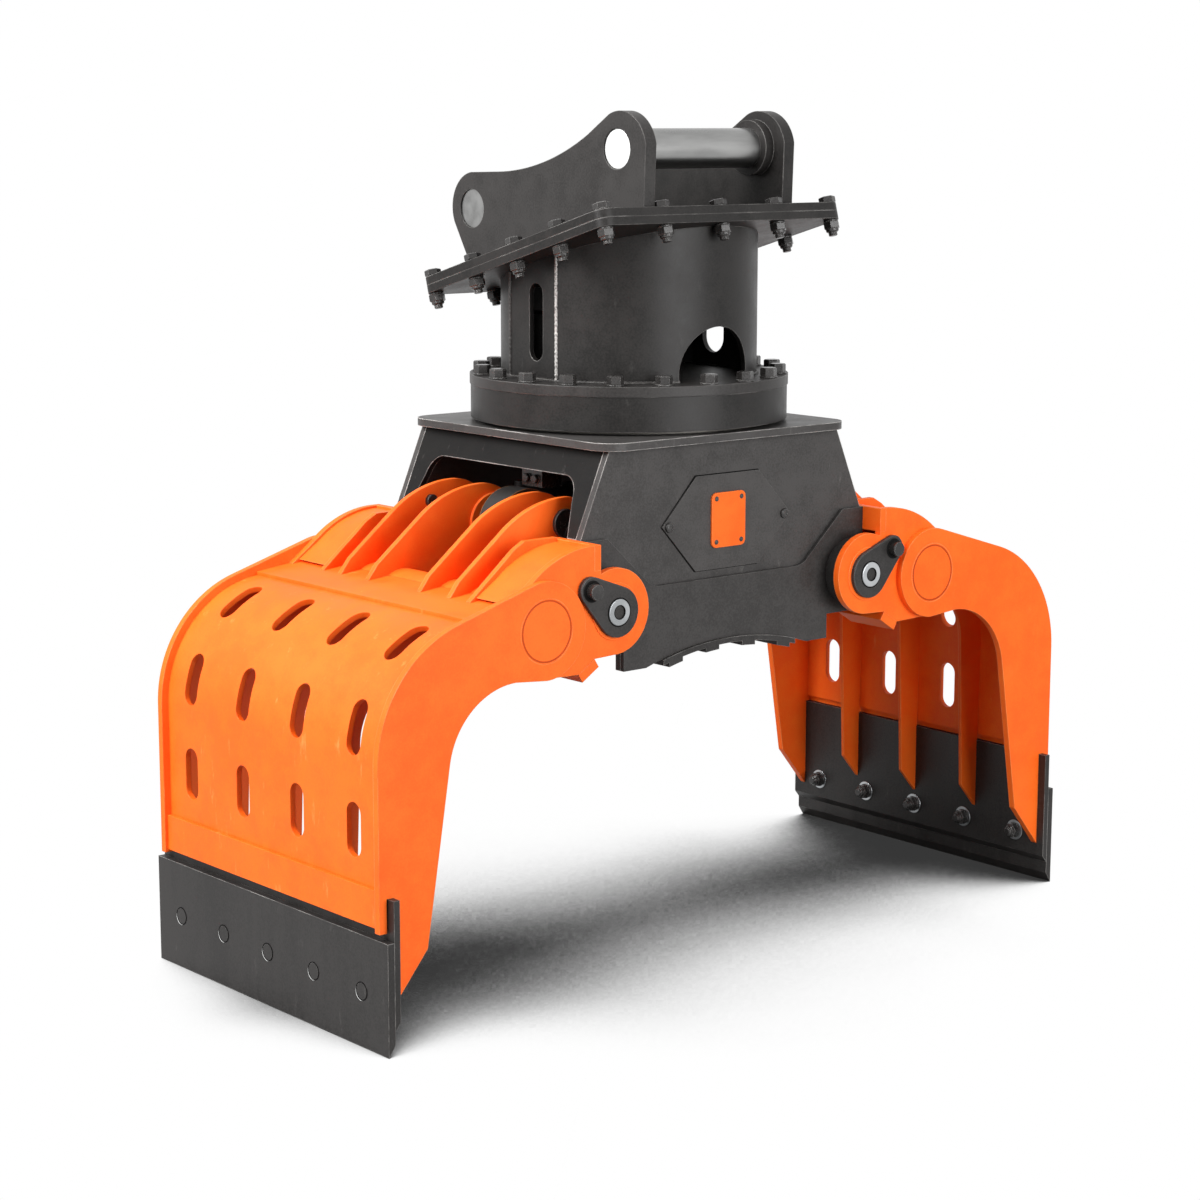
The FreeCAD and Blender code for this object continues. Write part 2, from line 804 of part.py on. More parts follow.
def build_top_plate():
    """Square top plate that carries the slewing ring."""
    item = body("frame_top_plate")
    loops = [
        rounded_rectangle("roof_x + roof_overhang", "side_outer_y + side_overhang", "top_corner"),
        circle("0", "0", "gear_tip_radius - gear_module"),
    ]
    pad(item, "plate", "XY_Plane", loops, "top_low_z", "top_height")


def arch_height(radius, x):
    """Height of the underside arch at a distance from the middle."""
    return "arch_center_z + sqrt((%s)^2 - (%s)^2)" % (radius, x)


def arch_strip(left, right, outer, inner):
    """Piece of a curved plate that follows the arch."""
    return [
        line(right, arch_height(outer, right)),
        arc(left, arch_height(outer, left), outer),
        line(left, arch_height(inner, left)),
        arc(right, arch_height(inner, right), inner, RIGHT_TURN),
    ]


def build_belly():
    """Curved belly plate under the frame with four wear bars."""
    high = "side_outer_y + belly_overhang"
    low = "-(%s)" % high
    item = body("belly")
    plate = arch_strip("-(belly_half)", "belly_half", "arch_radius", "belly_low_radius")
    pad(item, "plate", "XZ_Plane", [plate], low, high)
    loops = []
    for middle in ("bar_inner_x", "bar_outer_x", "-(bar_inner_x)", "-(bar_outer_x)"):
        left = "%s - bar_width / 2" % middle
        right = "%s + bar_width / 2" % middle
        loops.append(arch_strip(left, right, "belly_low_radius", "bar_radius"))
    pad(item, "bars", "XZ_Plane", loops, low, high)


def build_frame_covers():
    """Inspection covers with two screws each."""
    item = body("frame_covers")
    hole = [circle("cover_screw_x", "cover_screw_z", "cover_screw_radius"),
            circle("-(cover_screw_x)", "cover_screw_z", "cover_screw_radius")]
    sheet = pad(item, "sheet", "XZ_Plane", [cover_outline()],
                "side_outer_y", "side_outer_y + cover_thick")
    heads = pad(item, "heads", "XZ_Plane", hole,
                "side_outer_y + cover_thick", "side_outer_y + cover_thick + screw_head")
    mirror(item, [sheet, heads], "XZ_Plane")


def build_pivot_bosses():
    """Thick bosses that the pivot pins turn in."""
    item = body("pivot_bosses")
    loops = []
    for x in ("pivot_x", "-(pivot_x)"):
        loops.append(circle(x, "pivot_z", "boss_radius"))
        loops.append(circle(x, "pivot_z", "pin_bore"))
    boss = pad(item, "boss", "XZ_Plane", loops, "boss_inner_y", "boss_outer_y")
    mirror(item, [boss], "XZ_Plane")


# Slewing ring

def involute_point(base_radius, radius, half_angle):
    """Point of an involute flank; half_angle is the half tooth angle at the base."""
    cosine = min(base_radius / radius, 1)
    pressure = math.acos(cosine)
    angle = half_angle - (math.tan(pressure) - pressure)
    return radius, angle


def flank_angles(teeth, radii, thinner):
    """Half angles of a 20 degree involute tooth at the given radii."""
    module = value("gear_module")
    pitch = module * value(teeth) / 2
    base = pitch * math.cos(math.radians(20))
    roll = math.tan(math.radians(20)) - math.radians(20)
    half = math.pi / (2 * value(teeth)) + roll - thinner / (2 * pitch)
    return [involute_point(base, max(radius, base), half)[1] for radius in radii]


def polar(radius, angle, x="0", y="0"):
    """Step to a point given by radius and angle in radians."""
    degrees = "%.6f" % math.degrees(angle)
    across = "(%s) + (%s) * cos(%s)" % (x, radius, degrees)
    along = "(%s) + (%s) * sin(%s)" % (y, radius, degrees)
    return across, along


def build_inner_ring():
    """Geared ring bolted on the frame, with internal teeth."""
    item = body("ring_inner")
    loops = [circle("0", "0", "inner_ring_radius - race_depth"), circle("0", "0", "gear_tip_radius")]
    pad(item, "foot", "XY_Plane", loops, "top_height", "gear_floor_z")
    loops = [circle("0", "0", "inner_ring_radius"), circle("0", "0", "gear_tip_radius")]
    pad(item, "race", "XY_Plane", loops, "gear_floor_z", "inner_ring_top_z")
    names = ("gear_tip_radius - cut_overrun", "gear_pitch_radius", "gear_root_radius")
    radii = [value(name) for name in names]
    angles = flank_angles("ring_teeth", radii, -value("gear_backlash") / 2)
    right = [line(*polar(name, -angle)) for name, angle in zip(names, angles)]
    left = [line(*polar(name, angle)) for name, angle in zip(names, angles)]
    space = pocket(item, "space", "XY_Plane", [right + left[::-1]],
                   "top_height - cut_overrun", "inner_ring_top_z + cut_overrun")
    ring_of(item, space, "ring_teeth")


def build_outer_ring():
    """Turning ring round the geared ring, and the round table that it carries."""
    item = body("ring_outer")
    base = "top_height + ring_base_gap"
    loops = [circle("0", "0", "ring_radius"), circle("0", "0", "ring_bore")]
    pad(item, "drum", "XY_Plane", loops, base, "ring_top_z")
    item = body("slew_table")
    loops = [circle("0", "0", "table_radius"), circle("0", "0", "table_hole_radius"),
             circle("pinion_x", "pinion_y", "shaft_radius + race_gap")]
    pad(item, "disc", "XY_Plane", loops, "ring_top_z", "table_top_z")


def build_ring_bolts():
    """Bolt heads round the slewing table."""
    item = body("ring_bolts")
    place_x = "ring_bolt_circle * cos(ring_bolt_turn)"
    place_y = "ring_bolt_circle * sin(ring_bolt_turn)"
    head = pad(item, "head", "XY_Plane", [hexagon(place_x, place_y, "ring_bolt_across")],
               "table_top_z", "table_top_z + ring_bolt_head")
    ring_of(item, head, "ring_bolt_count")


def build_slew_drive():
    """Slewing motor on the table and its pinion below."""
    item = body("slew_motor")
    foot_top = "table_top_z + motor_foot_thick"
    pad(item, "foot", "XY_Plane", [circle("pinion_x", "pinion_y", "motor_foot_radius")],
        "table_top_z", foot_top)
    pad(item, "case", "XY_Plane", [circle("pinion_x", "pinion_y", "motor_radius")],
        foot_top, "table_top_z + motor_height")
    low = "gear_floor_z + pinion_rise"
    core_top = "ring_top_z - pinion_top_gap"
    item = body("slew_pinion", x="pinion_x", y="pinion_y")
    root = "pinion_pitch_radius - gear_module * tooth_depth"
    pad(item, "core", "XY_Plane", [circle("0", "0", root)], low, core_top)
    pad(item, "shaft", "XY_Plane", [circle("0", "0", "shaft_radius")], core_top, "table_top_z")
    names = (root + " - tooth_root", "pinion_pitch_radius", "pinion_pitch_radius + gear_module")
    radii = [value(name) for name in names]
    angles = flank_angles("pinion_teeth", radii, value("gear_backlash") / 2)
    turn = math.radians(value("pinion_angle"))
    right = [line(*polar(name, turn - angle)) for name, angle in zip(names, angles)]
    left = [line(*polar(name, turn + angle)) for name, angle in zip(names, angles)]
    tooth = pad(item, "tooth", "XY_Plane", [right + left[::-1]], low, "gear_floor_z + gear_width")
    ring_of(item, tooth, "pinion_teeth")


# Neck, head plates and ears

def neck_section(radius, flat_x, flat_y):
    """Round tube section with two flats."""
    return [
        line(flat_x, flat_y),
        arc("-(%s)" % flat_x, flat_y, radius),
        line("-(%s)" % flat_x, "-(%s)" % flat_y),
        arc(flat_x, "-(%s)" % flat_y, radius),
    ]


def build_neck():
    """Tube between the slewing table and the tilted head plates."""
    item = body("neck")
    loops = [neck_section("neck_radius", "neck_flat_x", "neck_flat_y"),
             neck_section("neck_bore", "neck_inner_x", "neck_inner_y")]
    pad(item, "tube", "XY_Plane", loops, "table_top_z", "head_z + slant_margin")
    reach = "neck_radius + cut_margin"
    slope = "tan(head_tilt)"
    wedge = [
        line(reach, "neck_top_z - (%s - head_y) * %s" % (reach, slope)),
        line(reach, "head_z + slant_margin + cut_margin"),
        line("-(%s)" % reach, "head_z + slant_margin + cut_margin"),
        line("-(%s)" % reach, "neck_top_z + (%s + head_y) * %s" % (reach, slope)),
    ]
    pocket(item, "slant", "YZ_Plane", [wedge], "-(%s)" % reach, reach)
    pocket(item, "slot", "YZ_Plane", [obround("slot_y", "slot_low_z", "slot_high_z", "slot_width")],
           "-(%s)" % reach, "-(neck_inner_x - cut_margin)")
    pocket(item, "port", "YZ_Plane", [obround("port_y", "port_low_z", "port_high_z", "port_width")],
           "neck_inner_x - cut_margin", reach)
    half = "door_width / 2"
    door = [
        line("door_x + %s" % half, "table_top_z - cut_overrun"),
        line("door_x + %s" % half, "door_top_z - %s" % half),
        arc("door_x", "door_top_z", half),
        arc("door_x - %s" % half, "door_top_z - %s" % half, half),
        line("door_x - %s" % half, "table_top_z - cut_overrun"),
    ]
    pocket(item, "door", "XZ_Plane", [door], "-(%s)" % reach, "-(neck_radius / 2)")


def head_bolt_places():
    """Centres of the bolts round the head plates; the neck's wall takes the rear middle one's place."""
    edge_x = "head_half_x - head_bolt_inset"
    edge_y = "head_half_y - head_bolt_inset"
    places = []
    for column in (-2, -1, 0, 1, 2):
        x = "%d * (%s) / 2" % (column, edge_x)
        places.append((x, "-(%s)" % edge_y))
        if column:
            places.append((x, edge_y))
    for row in (-1, 0, 1):
        y = "%d * (%s) / 2" % (row, edge_y)
        places.append((edge_x, y))
        places.append(("-(%s)" % edge_x, y))
    return places


def head_body(label):
    """Body that lies in the tilted plane of the head plates."""
    return body(label, y="head_y", z="head_z", tilt_x="-(head_tilt)")


def build_head_plates():
    """Adapter plate bolted on the neck's flange."""
    outline = rounded_rectangle("head_half_x", "head_half_y", "head_corner")
    item = head_body("head_adapter")
    pad(item, "plate", "XY_Plane", [outline], "-(adapter_thick)", "0")
    item = head_body("head_flange")
    pad(item, "plate", "XY_Plane", [outline], "-(adapter_thick + flange_thick)", "-(adapter_thick)")
    item = head_body("head_bolts")
    places = head_bolt_places()
    under = "-(adapter_thick + flange_thick)"
    pad(item, "heads", "XY_Plane", [hexagon(x, y, "head_bolt_across") for x, y in places],
        "0", "head_bolt_head")
    pad(item, "washers", "XY_Plane", [circle(x, y, "washer_radius") for x, y in places],
        under + " - washer_thick", under)
    nut_low = under + " - washer_thick - nut_height"
    pad(item, "nuts", "XY_Plane", [hexagon(x, y, "head_bolt_across") for x, y in places],
        nut_low, under + " - washer_thick")
    pad(item, "ends", "XY_Plane", [circle(x, y, "head_bolt_radius") for x, y in places],
        nut_low + " - bolt_end", nut_low)


def plate_height(y):
    """Height of the head plate's upper face at a distance along Y."""
    return "head_z - (%s - head_y) * tan(head_tilt)" % y


def ear_outline():
    """Ear with a tall front eye and a low rear eye, from the front foot round."""
    return [
        line("ear_rear_y", plate_height("ear_rear_y")),
        line("rear_eye_y + ear_heel_back", "rear_eye_z - ear_heel_drop"),
        line("rear_eye_y + rear_side_back", "rear_eye_z - rear_side_drop"),
        arc("rear_eye_y + rear_top_back", "rear_eye_z + rear_top_rise", "rear_eye_radius"),
        line("rear_eye_y - saddle_low_front", "rear_eye_z + saddle_low_rise"),
        arc("front_eye_y + saddle_high_back", "front_eye_z + saddle_high_rise", "saddle_radius",
            RIGHT_TURN),
        line("front_eye_y + front_top_back", "front_eye_z + front_top_rise"),
        arc("front_eye_y - front_side_front", "front_eye_z + front_side_rise", "front_eye_radius"),
        line("ear_front_y", "ear_front_low_z"),
        line("ear_front_y", plate_height("ear_front_y")),
    ]


def build_ears():
    """Two ears, the collars inside them and the two stick pins."""
    holes = [circle("front_eye_y", "front_eye_z", "pin_bore"),
             circle("rear_eye_y", "rear_eye_z", "pin_bore")]
    collars = holes + [circle("front_eye_y", "front_eye_z", "collar_radius"),
                       circle("rear_eye_y", "rear_eye_z", "collar_radius")]
    for name, sign in (("right", 1), ("left", -1)):
        item = body("ear_" + name)
        low, high = span(sign, "ear_inner_x", "ear_outer_x")
        pad(item, "plate", "YZ_Plane", [ear_outline()] + holes, low, high)
        low, high = span(sign, "collar_inner_x", "ear_inner_x")
        pad(item, "collars", "YZ_Plane", collars, low, high)
    end = "ear_outer_x - stick_pin_recess"
    for name in ("front", "rear"):
        item = body("stick_pin_" + name)
        eye = circle(name + "_eye_y", name + "_eye_z", "pin_radius")
        pad(item, "pin", "YZ_Plane", [eye], "-(%s)" % end, end)


# Shells; every outline is relative to the shell's own pivot, outward to the right

SIDES = (("right", 0), ("left", 180))


def shell_body(side, turn, name):
    """Body that turns with one shell."""
    place = "pivot_x" if side == "right" else "-(pivot_x)"
    return body(side + "_" + name, x=place, z="pivot_z", turn_z=turn)


def hook_outline():
    """Side plate of a shell, hooked round the load space."""
    tangent_z = "tube_z + sqrt(hook_end_radius^2 - (tube_tangent_x - tube_x)^2)"
    return [
        arc("tube_x - hook_end_radius", "tube_z", "hook_end_radius"),
        arc("tube_x", "hook_low_z", "hook_end_radius"),
        line("throat_top_x", "throat_top_z"),
        arc("throat_end_x", "throat_end_z", "throat_radius", RIGHT_TURN),
        line("knee_x", "knee_z"),
        line("backing_x", "tip_z"),
        line("backing_x", "backing_top_z"),
        line("backing_outer_x + leg_lap", "backing_top_z"),
        line("backing_outer_x + leg_lap", "leg_end_z"),
        line("back_edge_x", "leg_end_z"),
        line("back_edge_x", "back_z"),
        arc("crown_x", "crown_z", "back_radius"),
        line("tube_tangent_x", tangent_z),
    ]


def hinge_lower_edge():
    """Lower edge of a hinge plate from the stop plate round the eye to the foot."""
    return [
        line("open_stop_reach", "stop_low_z"),
        line("open_stop_reach", "stop_eye_z"),
        arc("-(eye_radius)", "0", "eye_radius"),
        arc("0", "-(eye_radius)", "eye_radius"),
        line("heel_x", "heel_z"),
        line("bar_end_x", "bar_end_z"),
        line("tube_x", "hook_low_z"),
        arc("foot_x", "foot_rise", "hook_end_radius"),
    ]


def hinge_holes():
    """Holes of a hinge plate for the pivot pin and the cross tube."""
    return [circle("0", "0", "pin_bore"), circle("tube_x", "tube_z", "tube_radius")]


def build_hinge(side, turn):
    """Outer and inner hinge plates with the cover sheets between them."""
    outer = hinge_lower_edge() + [
        line("shoulder_x", "shoulder_rise"),
        arc("dome_x", "dome_top_z", "dome_radius"),
        line("stop_outer_x", "dome_top_z"),
        line("stop_outer_x", "stop_low_z"),
    ]
    item = shell_body(side, turn, "hinge_outer")
    levels = ("hinge_outer_y", "hinge_outer_y + hinge_outer_thick")
    plate = pad(item, "plate", "XZ_Plane", [outer] + hinge_holes(), *levels)
    slot = pocket(item, "roof_slot", "XZ_Plane", [roof_section()], *levels)
    mirror(item, [plate, slot], "XZ_Plane")
    inner = hinge_lower_edge() + [
        line("inner_bend_x", "inner_bend_z"),
        line("inner_top_x", "inner_top_z"),
        line("stop_outer_x", "inner_top_z"),
        line("stop_outer_x", "stop_low_z"),
    ]
    item = shell_body(side, turn, "hinge_inner")
    levels = ("hinge_inner_y", "hinge_inner_y + hinge_inner_thick")
    plate = pad(item, "plate", "XZ_Plane", [inner] + hinge_holes(), *levels)
    slot = pocket(item, "roof_slot", "XZ_Plane", [roof_section()], *levels)
    mirror(item, [plate, slot], "XZ_Plane")


def build_hinge_covers(side, turn):
    """Curved cover sheets that close the hinge boxes on top."""
    outer = "dome_radius - cover_recess"
    inner = "dome_radius - cover_recess - cover_sheet"
    end_x = "foot_x - cover_foot_back"
    end_z = "foot_rise + cover_foot_rise"
    section = [
        line("shoulder_x - cover_lead", "shoulder_rise - cover_recess * cover_slope"),
        arc("stop_outer_x", "dome_z + sqrt((%s)^2 - (dome_x - stop_outer_x)^2)" % outer, outer),
        line("stop_outer_x", "dome_z + sqrt((%s)^2 - (dome_x - stop_outer_x)^2)" % inner),
        arc("shoulder_x - cover_back", "shoulder_rise - cover_recess - cover_sheet", inner, RIGHT_TURN),
        line("%s - cover_sheet" % end_x, "%s - cover_sheet" % end_z),
        line(end_x, end_z + " - cover_recess * cover_slope"),
    ]
    item = shell_body(side, turn, "hinge_covers")
    sheet = pad(item, "sheet", "XZ_Plane", [section],
                "hinge_inner_y + hinge_inner_thick", "hinge_outer_y")
    mirror(item, [sheet], "XZ_Plane")


def build_stops(side, turn):
    """End plates that stop the opening and the bar that stops the closing."""
    item = shell_body(side, turn, "stops")
    plate = pad(item, "plate", "XZ_Plane",
                [rectangle("open_stop_reach", "stop_low_z", "stop_outer_x", "dome_top_z")],
                "hinge_inner_y", "hinge_outer_y + hinge_outer_thick")
    bar = [
        line("bar_toe_x", "bar_toe_z"),
        line("bar_low_x", "bar_low_z"),
        line("bar_end_x", "bar_end_z"),
        line("heel_x", "heel_z"),
    ]
    lower = pad(item, "bar", "XZ_Plane", [bar], "hinge_inner_y", "hinge_outer_y + hinge_outer_thick")
    mirror(item, [plate, lower], "XZ_Plane")


def build_hooks(side, turn):
    """Side plates of the shell, one at each end of the cross tube."""
    for name, sign in FACES:
        low, high = span(sign, "hook_inner_y", "shell_half")
        item = shell_body(side, turn, "side_" + name)
        pad(item, "plate", "XZ_Plane", [hook_outline(), circle("tube_x", "tube_z", "tube_radius")],
            low, high)


def build_tube(side, turn):
    """Cross tube through both side plates."""
    item = shell_body(side, turn, "cross_tube")
    plug = [circle("tube_x", "tube_z", "tube_radius - tube_wall")]
    loops = [circle("tube_x", "tube_z", "tube_radius")] + plug
    pad(item, "tube", "XZ_Plane", loops, "-(shell_half)", "shell_half")
    cap = pad(item, "cap", "XZ_Plane", plug, "shell_half - tube_cap", "shell_half")
    mirror(item, [cap], "XZ_Plane")


def build_back(side, turn):
    """Curved back plate with three rows of slots."""
    item = shell_body(side, turn, "back_plate")
    section = [
        line("skin_outer_x", "skin_low_z"),
        line("skin_outer_x", "back_z"),
        arc("seam_x", "seam_outer_z", "skin_outer_radius"),
        line("seam_x", "seam_inner_z"),
        arc("skin_inner_x", "back_z", "skin_inner_radius", RIGHT_TURN),
        line("skin_inner_x", "skin_low_z"),
    ]
    pad(item, "sheet", "XZ_Plane", [section], "-(hook_inner_y)", "hook_inner_y")
    start = "slot_rows_y * (1 - slot_columns) / 2"
    rows = (("top", "slot_top_angle", "back_x", "back_z"), ("mid", "slot_mid_angle", "back_x", "back_z"),
            ("foot", "0", "back_x", "slot_foot_z"))
    depth = "skin_outer_radius + slot_cut_margin"
    loop = obround("0", "-(slot_long) / 2", "slot_long / 2", "slot_wide")
    for name, angle, x, z in rows:
        lean = FreeCAD.Rotation(FreeCAD.Vector(1, 0, 0), -value(angle))
        shift = (start, "%s + (%s) * sin(%s)" % (z, depth, angle))
        level = "%s + (%s) * cos(%s)" % (x, depth, angle)
        sketch = sketch_on(item, name, "YZ_Plane", level, [loop], lean, shift)
        cut = item.newObject("PartDesign::Pocket", sketch.Name + "_cut")
        cut.Profile = sketch
        cut.setExpression("Length", expand("skin_thick + slot_cut_extra"))
        item.Tip = cut
        row_of(item, name + "_row", cut, "Y_Axis", "slot_rows_y", "slot_columns")


def roof_section():
    """Nearly flat plate from the crown's seam to the cross tube."""
    top = ("tube_x + tube_radius * cos(roof_top_angle)", "tube_z + tube_radius * sin(roof_top_angle)")
    low = ("tube_x + tube_radius * cos(roof_low_angle)", "tube_z + tube_radius * sin(roof_low_angle)")
    return [
        line("seam_x", "seam_z - skin_thick"),
        line("seam_x", "seam_z"),
        line(*top),
        arc(low[0], low[1], "tube_radius", RIGHT_TURN),
    ]


def build_strips(side, turn):
    """Roof plate toward the tube and the lapped plate over the blade."""
    item = shell_body(side, turn, "back_strips")
    pad(item, "roof", "XZ_Plane", [roof_section()], "-(hook_inner_y)", "hook_inner_y")
    lap = rectangle("backing_outer_x", "lap_low_z", "backing_outer_x + lap_thick", "skin_low_z")
    pad(item, "lap", "XZ_Plane", [lap], "-(hook_inner_y)", "hook_inner_y")


def build_ribs(side, turn):
    """Three inner ribs along the back plate down to the backing plate."""
    item = shell_body(side, turn, "inner_ribs")
    rib_inner = "skin_inner_radius - rib_throat"
    rib = [
        line("backing_x", "rib_tip_z"),
        line("backing_x", "backing_top_z"),
        line("skin_inner_x", "backing_top_z"),
        line("skin_inner_x", "back_z"),
        arc("seam_x", "seam_inner_z", "skin_inner_radius"),
        line("seam_x", "back_z + sqrt((%s)^2 - (seam_x - back_x)^2)" % rib_inner),
        arc("back_x + %s" % rib_inner, "back_z", rib_inner, RIGHT_TURN),
        line("rib_knee_x", "rib_knee_z"),
    ]
    for name, middle in (("middle", "0"), ("rear", "rib_pitch"), ("front", "-(rib_pitch)")):
        pad(item, name, "XZ_Plane", [rib], "%s - rib_thick / 2" % middle, "%s + rib_thick / 2" % middle)


def build_blade(side, turn):
    """Backing plate, bolted cutting blade and its plow bolts."""
    half = "bucket_width / 2"
    item = shell_body(side, turn, "backing_plate")
    section = [
        line("backing_outer_x", "backing_low_z"),
        line("backing_outer_x", "backing_top_z"),
        line("backing_x", "backing_top_z"),
        line("backing_x", "backing_inner_low_z"),
    ]
    pad(item, "plate", "XZ_Plane", [section], "-(%s)" % half, half)
    item = shell_body(side, turn, "blade")
    section = [
        line("blade_outer_x", "blade_low_z"),
        line("blade_outer_x", "blade_top_z"),
        line("backing_outer_x", "blade_top_z"),
        line("backing_outer_x", "blade_inner_low_z"),
    ]
    pad(item, "plate", "XZ_Plane", [section], "-(%s)" % half, half)
    item = shell_body(side, turn, "plow_nuts")
    start = "-(plow_pitch) * (plow_count - 1) / 2"
    nut = pad(item, "nut", "YZ_Plane", [hexagon(start, "plow_z", "plow_across")],
              "backing_x - plow_nut", "backing_x")
    row_of(item, "nuts", nut, "Y_Axis", "plow_pitch", "plow_count")
    stub = pad(item, "stub", "YZ_Plane", [circle(start, "plow_z", "plow_radius")],
               "backing_x - plow_nut - plow_stub", "backing_x - plow_nut")
    row_of(item, "stubs", stub, "Y_Axis", "plow_pitch", "plow_count")


def lug_outline():
    """Rib that carries a cylinder lug above the pivot."""
    heel_x = "lug_x + lug_radius * cos(lug_heel_angle)"
    heel_z = "lug_z + lug_radius * sin(lug_heel_angle)"
    nose_z = "lug_z + sqrt(lug_radius^2 - (lug_nose_x - lug_x)^2)"
    return [
        line("lug_step_x", "lug_step_z"),
        line("lug_bend_x", "lug_bend_z"),
        arc("lug_top_x", "lug_top_z", "lug_top_bulge"),
        arc("lug_nose_x", nose_z, "lug_nose_bulge"),
        arc("lug_x - lug_radius", "lug_z", "lug_radius"),
        arc(heel_x, heel_z, "lug_radius"),
        line("lug_low_x", "lug_low_z"),
        line("tube_x", "hook_low_z"),
        arc("foot_x", "foot_rise", "hook_end_radius"),
    ]


def build_lugs(side, turn):
    """Four lug ribs, the hub between the middle two and their bosses."""
    item = shell_body(side, turn, "lug_ribs")
    half = "rib_thick / 2"
    holes = [circle("lug_x", "lug_z", "lug_pin_radius"), circle("tube_x", "tube_z", "tube_radius")]
    features = []
    for name in ("near", "far"):
        middle = "lug_%s_y" % name
        levels = ("%s - %s" % (middle, half), "%s + %s" % (middle, half))
        features.append(pad(item, name, "XZ_Plane", [lug_outline()] + holes, *levels))
        features.append(pocket(item, name + "_roof_slot", "XZ_Plane", [roof_section()], *levels))
    boss = [circle("lug_x", "lug_z", "lug_boss_radius"), circle("lug_x", "lug_z", "lug_pin_radius")]
    face = "lug_near_y - %s" % half
    features.append(pad(item, "boss", "XZ_Plane", boss, face + " - lug_boss_depth", face))
    mirror(item, features, "XZ_Plane")
    hub = [circle("lug_x", "lug_z", "hub_radius"), circle("lug_x", "lug_z", "lug_pin_radius")]
    pad(item, "drum", "XZ_Plane", hub, "-(hub_half)", "hub_half")


def build_pins(side, turn):
    """Pivot pins and the long lug pin of one shell."""
    item = shell_body(side, turn, "pins")
    pivot = pad(item, "pivot", "XZ_Plane", [circle("0", "0", "pin_radius")],
                "hinge_inner_y", "hinge_outer_y + hinge_outer_thick")
    mirror(item, [pivot], "XZ_Plane")
    tip = "lug_far_y + rib_thick / 2"
    pad(item, "lug", "XZ_Plane", [circle("lug_x", "lug_z", "lug_pin_radius")], "-(%s)" % tip, tip)
    pad(item, "head", "XZ_Plane", [circle("lug_x", "lug_z", "lug_head_radius")],
        tip, "%s + lug_head_thick" % tip)


def build_keepers(side, turn):
    """Teardrop keeper plates that hold the pivot pins."""
    item = shell_body(side, turn, "keepers")
    face = "hinge_outer_y + hinge_outer_thick"
    lifted = face + " + keeper_lift"
    outer = lifted + " + keeper_thick"
    far = "sqrt(keeper_tail_x^2 + keeper_tail_z^2)"
    lean = "asin((keeper_radius - keeper_tail_radius) / (%s)) / 1 deg" % far
    heading = "atan2(keeper_tail_z; keeper_tail_x) / 1 deg"
    upper = "(%s + 90 - %s)" % (heading, lean)
    lower = "(%s - 90 + %s)" % (heading, lean)
    drop = [
        arc("keeper_tail_x + keeper_tail_radius * cos(%s)" % upper,
            "keeper_tail_z + keeper_tail_radius * sin(%s)" % upper, "keeper_tail_radius"),
        line("keeper_radius * cos(%s)" % upper, "keeper_radius * sin(%s)" % upper),
        arc("keeper_radius * cos(%s + 180)" % heading, "keeper_radius * sin(%s + 180)" % heading,
            "keeper_radius"),
        arc("keeper_radius * cos(%s)" % lower, "keeper_radius * sin(%s)" % lower, "keeper_radius"),
        line("keeper_tail_x + keeper_tail_radius * cos(%s)" % lower,
             "keeper_tail_z + keeper_tail_radius * sin(%s)" % lower),
    ]
    ring = pad(item, "ring", "XZ_Plane", [circle("0", "0", "keeper_ring_radius")], face, lifted)
    plate = pad(item, "plate", "XZ_Plane", [drop], lifted, outer)
    seat = outer + " + keeper_washer"
    disc = circle("keeper_tail_x", "keeper_tail_z", "keeper_washer_radius")
    washer = pad(item, "washer", "XZ_Plane", [disc], outer, seat)
    head = hexagon("keeper_tail_x", "keeper_tail_z", "keeper_bolt_across")
    bolt = pad(item, "bolt", "XZ_Plane", [head], seat, seat + " + keeper_bolt_head")
    mirror(item, [ring, plate, washer, bolt], "XZ_Plane")


# Cylinders between the two shells' lug pins

LANES = (("front", "-(cylinder_y)"), ("rear", "cylinder_y"))


